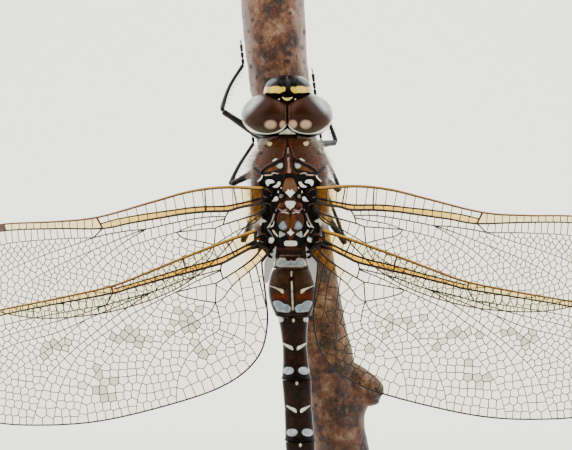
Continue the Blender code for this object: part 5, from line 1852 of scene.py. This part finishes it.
def grow_hair():
    """Blades of fur from random places on the thorax, kept with a chance that is its thickness there."""
    turns = rng.uniform(0, 2 * math.pi, HAIR_TRIES)
    z = rng.uniform(-2.6, 8.3, HAIR_TRIES)
    deep = np.sin(turns)
    corner = soft_step(z - 5.0, 2.0) * soft_step(np.abs(np.cos(turns)) - 0.87, 0.16)
    collar = soft_step(z - 7.7, 0.4) * soft_step(np.abs(np.cos(turns)) - 0.74, 0.2)
    flank = soft_step(deep + 0.15, 0.25) * soft_step(z + 1.5, 1.5)
    thick = np.maximum.reduce([0.8 * corner, 0.6 * flank, collar])
    kept = rng.uniform(0, 1, HAIR_TRIES) < thick
    turns, z = turns[kept], z[kept]
    points, normals = thorax_skin(turns, z)
    lean = normals + np.array([0, 0, -0.12]) + rng.normal(0, 0.14, points.shape)
    lean[:, 2] += 0.35 * soft_step(z - 7.2, 1.4)
    lean = unit(lean)
    length = rng.uniform(0.60, 0.95, len(z))[:, None] * (0.75 + 0.45 * soft_step(z - 4.0, 5.0))[:, None]
    roots = points - normals * 0.06
    droop = np.array([0.0, 0.0, -0.10]) * length
    middles, tips = roots + lean * length * 0.55, roots + lean * length + droop
    blades, faces = spikes(roots, middles, tips, rng.uniform(0.008, 0.013, len(z)))
    piece = new_mesh("thorax_hair", blades, faces)
    # Each hair's patch of the map lies at its root's place on the skin: turn across, height up.
    rooted = np.stack([turns / (2 * math.pi), (z + 3.0) / 12.0], 1)
    corner_place = 0.003 * np.array([
        (0, 0), (1, 0), (0.5, 0.4), (0, 0.6), (1, 0.6), (0.5, 0.8), (0.5, 1.0)])
    places = (rooted[:, None] + corner_place).reshape(-1, 2).astype(np.float32)
    layer = piece.data.uv_layers.new(name="OFBake")
    corners = np.zeros(len(piece.data.loops), np.int32)
    piece.data.loops.foreach_get("vertex_index", corners)
    layer.data.foreach_set("uv", places[corners].ravel())
    finish_piece(piece, pale_hair, "thorax")
    print(len(z), "hairs")


pale_hair, tree, shader = new_material("fine_pale_hair", "#D2C4B4", 0.6, Specular_IOR_Level=0.3)
grow_hair()

# %% [markdown]
# ## Branch
# The perch is a cut length of a young branch, 6 mm thick. Its bark is a tube whose radius varies:
# broad swellings, ridges that run along it, small round pores that stand up, and fissures. A broken
# side twig leaves a stub. All of it is one height field over (turn, height), made from smooth random
# lattices, and the same field darkens the cracks.

# %% Bark height field
def lattice_noise(turn, z, cells_round, cells_per_mm, seed):
    """Smooth random heights from -1 to 1, joined up round the branch: a random lattice, blended
    between its corners by 3t^2 - 2t^3."""
    draw = np.random.default_rng(seed)
    rows = int(60 * cells_per_mm) + 3
    lattice = draw.uniform(-1, 1, (rows, cells_round))
    u = turn / (2 * math.pi) * cells_round
    v = (z + 30.0) * cells_per_mm
    column, row = np.floor(u).astype(int), np.clip(np.floor(v).astype(int), 0, rows - 2)
    s, t = u - column, np.clip(v - row, 0, 1)
    s, t = s * s * (3 - 2 * s), t * t * (3 - 2 * t)
    left, right = column % cells_round, (column + 1) % cells_round
    low = lattice[row, left] * (1 - s) + lattice[row, right] * s
    high = lattice[row + 1, left] * (1 - s) + lattice[row + 1, right] * s
    return low * (1 - t) + high * t


PORES = 330


def bark_field(turn, z):
    """Height in mm and how open the cracks are, from 0 to 1."""
    height = 0.10 * lattice_noise(turn, z, 5, 0.16, 1) + 0.06 * lattice_noise(turn, z, 12, 0.5, 2)
    height += 0.035 * lattice_noise(turn, z, 34, 1.1, 3) + 0.02 * lattice_noise(turn, z, 70, 3.2, 4)
    crack = np.abs(lattice_noise(turn, z, 15, 0.28, 5) + 0.35 * lattice_noise(turn, z, 40, 1.5, 6))
    crack = 0.45 * hump(crack, 0.05) * soft_step(lattice_noise(turn, z, 9, 0.5, 7) - 0.25, 0.3)
    draw = np.random.default_rng(8)
    for pore_turn, pore_z, size in zip(draw.uniform(0, 2 * math.pi, PORES), draw.uniform(-28, 26, PORES),
                                       draw.uniform(0.10, 0.34, PORES)):
        across = ((turn - pore_turn + math.pi) % (2 * math.pi) - math.pi) * 2.95
        gap = np.hypot(across / 1.35, z - pore_z)
        height += 0.10 * hump(gap, size)
        crack = np.maximum(crack, 0.95 * hump(gap, size * 0.7))
    return height - 0.13 * crack, crack


# %% [markdown]
# Where the side twig left the branch the wood swells into a collar, like a neck round the stub. The
# stub is a second tube with a torn end, sunk in that collar.

# %% Branch and stub
STUB_HEIGHT, STUB_TURN = -15.4, math.radians(90)
STUB_WAY = unit([0.86, -0.10, -0.50])


def build_branch():
    """The bark's tube with its collar, the two sawn ends and the stub, as one piece."""
    rows, columns = 340, 230
    z = np.linspace(BRANCH_BOTTOM, BRANCH_TOP, rows)
    turn = np.linspace(0, 2 * math.pi, columns, endpoint=False)
    flat_turn, flat_z = (grid.ravel() for grid in np.meshgrid(turn, z))
    height, crack = bark_field(flat_turn, flat_z)
    aside = (flat_turn - STUB_TURN + math.pi) % (2 * math.pi) - math.pi
    height += 1.30 * hump(aside, 0.75) * hump(flat_z - STUB_HEIGHT + 1.9, 1.7)
    height += 0.30 * hump(aside, 0.80) * hump(flat_z - STUB_HEIGHT - 2.4, 2.6)
    middle = branch_line(z)
    # The cut ends are rounded over by 0.15 mm, as a saw and a wipe of sandpaper leave them.
    to_end = np.minimum(flat_z - BRANCH_BOTTOM, BRANCH_TOP - flat_z)
    radius = branch_girth(flat_z) + height - 0.15 * hump(to_end, 0.12)
    outward = np.stack([np.sin(flat_turn), -np.cos(flat_turn), 0 * flat_turn], 1)
    points = middle.repeat(columns, axis=0) + radius[:, None] * outward
    parts, cracks = [(points, ring_faces(rows, columns))], [crack]
    for place in (0, rows - 1):
        cut, blocks = end_disc(points[place * columns:(place + 1) * columns], middle[place], place > 0)
        parts.append((cut, blocks))
        cracks.append(np.full(len(cut), -1.0))
    root = branch_line(-15.6) + np.array([1.2, 0, 0.5])
    length, stub_rows, stub_columns = 4.9, 60, 110
    share = np.linspace(0, 1, stub_rows)
    path = root + share[:, None] * length * STUB_WAY
    stub_turn = np.linspace(0, 2 * math.pi, stub_columns, endpoint=False)
    turns, along = (grid.ravel() for grid in np.meshgrid(stub_turn, share))
    bumps, stub_crack = bark_field(turns, along * 4.6 + 3.0)
    torn = 0.20 * lattice_noise(turns, 9 + 0 * turns, 14, 1.0, 9) * soft_step(along - 0.94, 0.1)
    radii = np.interp(along, [0, 0.5, 0.75, 0.93, 1.0], [1.8, 1.7, 1.55, 1.25, 0.7]) + bumps * 0.9
    stub = tube(path, np.ones(stub_rows), stub_columns).reshape(stub_rows, stub_columns, 3)
    stub = path[:, None] + (stub - path[:, None]) * radii.reshape(stub_rows, stub_columns, 1)
    stub = stub.reshape(-1, 3) + torn[:, None] * STUB_WAY
    parts.append((stub, ring_faces(stub_rows, stub_columns)))
    cracks.append(np.maximum(stub_crack, soft_step(along - 0.93, 0.06) * 0.8))
    piece = join_parts("cut_branch", parts)
    # Down both sides, in its upper part, the bark carries a painted sheen: a pale strip where it turns away
    # from the viewer.
    around = np.abs((flat_turn + math.pi) % (2 * math.pi) - math.pi)
    around += 0.10 * lattice_noise(flat_turn, flat_z, 9, 0.6, 12)
    sheen_strip = np.zeros(len(piece.data.vertices))
    sheen_strip[:rows * columns] = (soft_step(around - 0.86, 0.2) * soft_step(1.95 - around, 0.4)
                              * soft_step(flat_z - 2, 6))
    finish_piece(piece, young_bark, "bark", "perch_branch", crack=np.concatenate(cracks), weathered=sheen_strip)


def end_disc(rim, centre, upper):
    """A sawn end: rings shrink to the middle, 0.02 mm proud, with a thin sheet's thickness below."""
    shares = np.array([0.97, 0.9, 0.7, 0.45, 0.2, 0.03])[:, None, None]
    sign = 1 if upper else -1
    rings = centre + (rim - centre) * shares + np.array([0, 0, 0.02 * sign])
    below = rings - np.array([0, 0, 0.06 * sign])
    points = np.concatenate([below[::-1], rings]).reshape(-1, 3)
    return points, ring_faces(12, len(rim), flip=not upper)


# %% [markdown]
# Bark colour: a grey film over red-brown cork, worn off in flecks. A noise of about 2 mm chooses
# between dark, middle and pale tones, one of 0.7 mm lays rusty flecks, and one of 1.6 mm a pinkish
# grey film. Both sides of the upper branch carry a painted sheen, a pale strip. Cracks and pores are
# dark. The sawn ends are plain pale wood; there the crack value is negative.

# %% Bark material
young_bark, tree, shader = new_material("young_alder_bark", "#7A5646", 0.62, Specular_IOR_Level=0.35,
                                         Sheen_Weight=0.3, Sheen_Roughness=0.4)
crack_value = attribute(tree, "crack")
flecks = noise(tree, 1500.0, 4.0, Roughness=0.7)
film = noise(tree, 620.0, 5.0, Roughness=0.75)
bark_colour = ramp(tree, noise(tree, 460.0, 8.0, Roughness=0.72), [
    (0.39, "#22110A"), (0.46, "#442618"), (0.52, "#6A4028"), (0.59, "#8F6448"), (0.69, "#B3957A")])
# Painted sheen: a pale strip down both sides of the upper branch.
weathered = attribute(tree, "weathered")
weathered = add_node(tree, "ShaderNodeMath", {0: weathered}, operation="MULTIPLY", in1=0.42)
ends = add_node(tree, "ShaderNodeMath", {0: crack_value}, operation="LESS_THAN", in1=-0.5)
BARK_LAYERS = [(fit(tree, flecks, 0.55, 0.63), "#7A3C0C"),
               (fit(tree, film, 0.54, 0.68, 0.0, 0.38), "#A68C80"),
               (weathered, "#A4968C"),
               (fit(tree, crack_value, 0.08, 0.6, 0.0, 0.95), "#1E0E0A"),
               (ends, "#C8A878")]
for mask, colour in BARK_LAYERS:
    bark_colour = overlay(tree, mask, bark_colour, colour)
# Painted shade: the bark is darker towards the foot of the branch.
bark_place = add_node(tree, "ShaderNodeTexCoord").outputs["Object"]
bark_axes = add_node(tree, "ShaderNodeSeparateXYZ", {0: bark_place})
foot_shade = fit(tree, bark_axes.outputs["Z"], 0.035, 0.075, 0.52, 0.80)
tree.links.new(shaded(tree, bark_colour, foot_shade), shader.inputs["Base Color"])
add_bump(tree, shader, flecks, 0.6, 0.06)
build_branch()

# %% [markdown]
# ## Stand
# The branch sits in a brass cup on a brass rod, in a block of walnut. Turned metal is a profile swept
# round an axis: (distance along, radius) pairs. The block is a stack of rounded rectangles.

# %% Stand shapes
def lathe(profile, foot, axis, sides=64):
    """A profile of (distance along the axis, radius) turned round the axis from a foot point."""
    axis = unit(axis)
    along, radius = np.array(profile).T[:, :, None, None]
    points = np.asarray(foot) + along * axis + radius * rings_round(axis, [0.0, -1.0, 0.0], sides)
    return points.reshape(-1, 3), ring_faces(len(profile), sides)


BASE_HEIGHT = 6.0
# How deep the branch stands in its cup.
CUP_DEPTH = 1.5


def build_metal():
    """The rod with its foot, and the cup in line with the branch's lower end."""
    end, above = branch_line(np.array([BRANCH_BOTTOM, BRANCH_BOTTOM + 4.0]))
    axis = unit(above - end)
    cup_foot = end - axis * CUP_DEPTH
    base_top = round(BASE_HEIGHT - BODY[2], 3)
    rod_height = cup_foot[2] + 0.6 - base_top
    rod = [(-3.9, 0.01), (-3.9, 1.6), (0.0, 1.6), (0.0, 2.9), (0.15, 3.0), (0.45, 3.0), (0.6, 2.9),
           (0.75, 2.1), (0.95, 1.75), (1.3, 1.6), (rod_height, 1.6), (rod_height, 0.01)]
    cup = [(0.0, 0.01), (0.0, 3.15), (0.1, 3.3), (0.5, 3.45), (0.8, 3.42), (1.1, 3.48), (3.6, 3.86),
           (3.9, 3.98), (4.3, 4.0), (4.5, 3.85), (4.5, 3.3), (4.35, 3.18), (1.35, 3.18), (1.2, 3.05),
           (1.2, 0.01)]
    foot = np.array([end[0], end[1], base_top])
    # The metal is shaded flat: with 64 sides it still looks round, and its turned edges stay crisp.
    metal = join_parts("stand_brass_rod_and_cup", [lathe(rod, foot, (0, 0, 1)), lathe(cup, cup_foot, axis)])
    metal.data.polygons.foreach_set("use_smooth", np.zeros(len(metal.data.polygons), bool))
    finish_piece(metal, brushed_brass, "stand_brass", "stand_rod")
    return foot


def build_base():
    """The block: a rounded rectangle per height, drawn in by the inset that the profile gives."""
    low, high = (np.array(corner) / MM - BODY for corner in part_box("stand_base"))
    half = (high - low)[:2] / 2
    corner = np.linspace(0, math.pi / 2, 9)
    profile = [(0.0, 0.5), (0.12, 0.2), (0.4, 0.0), (4.2, 0.0), (4.5, 0.08), (4.7, 0.45), (4.8, 0.9),
               (5.1, 1.0), (5.5, 1.08), (5.8, 1.3), (5.93, 1.6), (BASE_HEIGHT, 2.0), (BASE_HEIGHT, 8.0),
               (BASE_HEIGHT, 20.0)]
    rings = []
    for height, inset in profile:
        radius = max(3.0 - inset, 0.6)
        sides = [np.stack([np.cos(corner + quarter), np.sin(corner + quarter)], 1) * radius
                 + (half - inset - radius) * [(1, 1), (-1, 1), (-1, -1), (1, -1)][number]
                 for number, quarter in enumerate(np.arange(4) * math.pi / 2)]
        loop = np.vstack(sides) + (low + high)[:2] / 2
        rings.append(np.column_stack([loop, np.full(len(loop), low[2] + height)]))
    block = new_mesh("stand_walnut_block", np.vstack(rings), ring_faces(len(rings), 36), smooth=False)
    finish_piece(block, oiled_walnut, "stand_wood", "stand_base")


# %% [markdown]
# Walnut grain runs along x: one noise, stretched along x, gives the tones of the growth rings, and a
# finer one the dark pores. Brass is a yellow metal, rough enough to blur its reflections.

# %% Stand materials
oiled_walnut, tree, shader = new_material("oiled_walnut", "#5A3A24", 0.38, IOR=1.5)
wood_place = add_node(tree, "ShaderNodeTexCoord").outputs["Object"]
stretches = [add_node(tree, "ShaderNodeMapping", {"Vector": wood_place}, Scale=(1.0, thin, thin))
             for thin in (9.0, 16.0)]
grain = add_node(tree, "ShaderNodeTexNoise", {"Vector": stretches[0]}, Scale=28.0, Detail=7.0,
                 Roughness=0.62, Distortion=0.9)
pores = add_node(tree, "ShaderNodeTexNoise", {"Vector": stretches[1]}, Scale=160.0, Detail=2.0)
grain_colours = ramp(tree, grain, [(0.33, "#3A2316"), (0.48, "#5E3C26"), (0.58, "#7A5436"),
                                   (0.70, "#4E3020")])
with_pores = overlay(tree, fit(tree, pores, 0.60, 0.68, 0.0, 0.6), grain_colours, "#24150E")
tree.links.new(with_pores, shader.inputs["Base Color"])
add_bump(tree, shader, pores, 0.2, 0.03)
brushed_brass, tree, shader = new_material("brushed_brass", "#C8A050", 0.30, Metallic=1.0)
build_metal()
build_base()
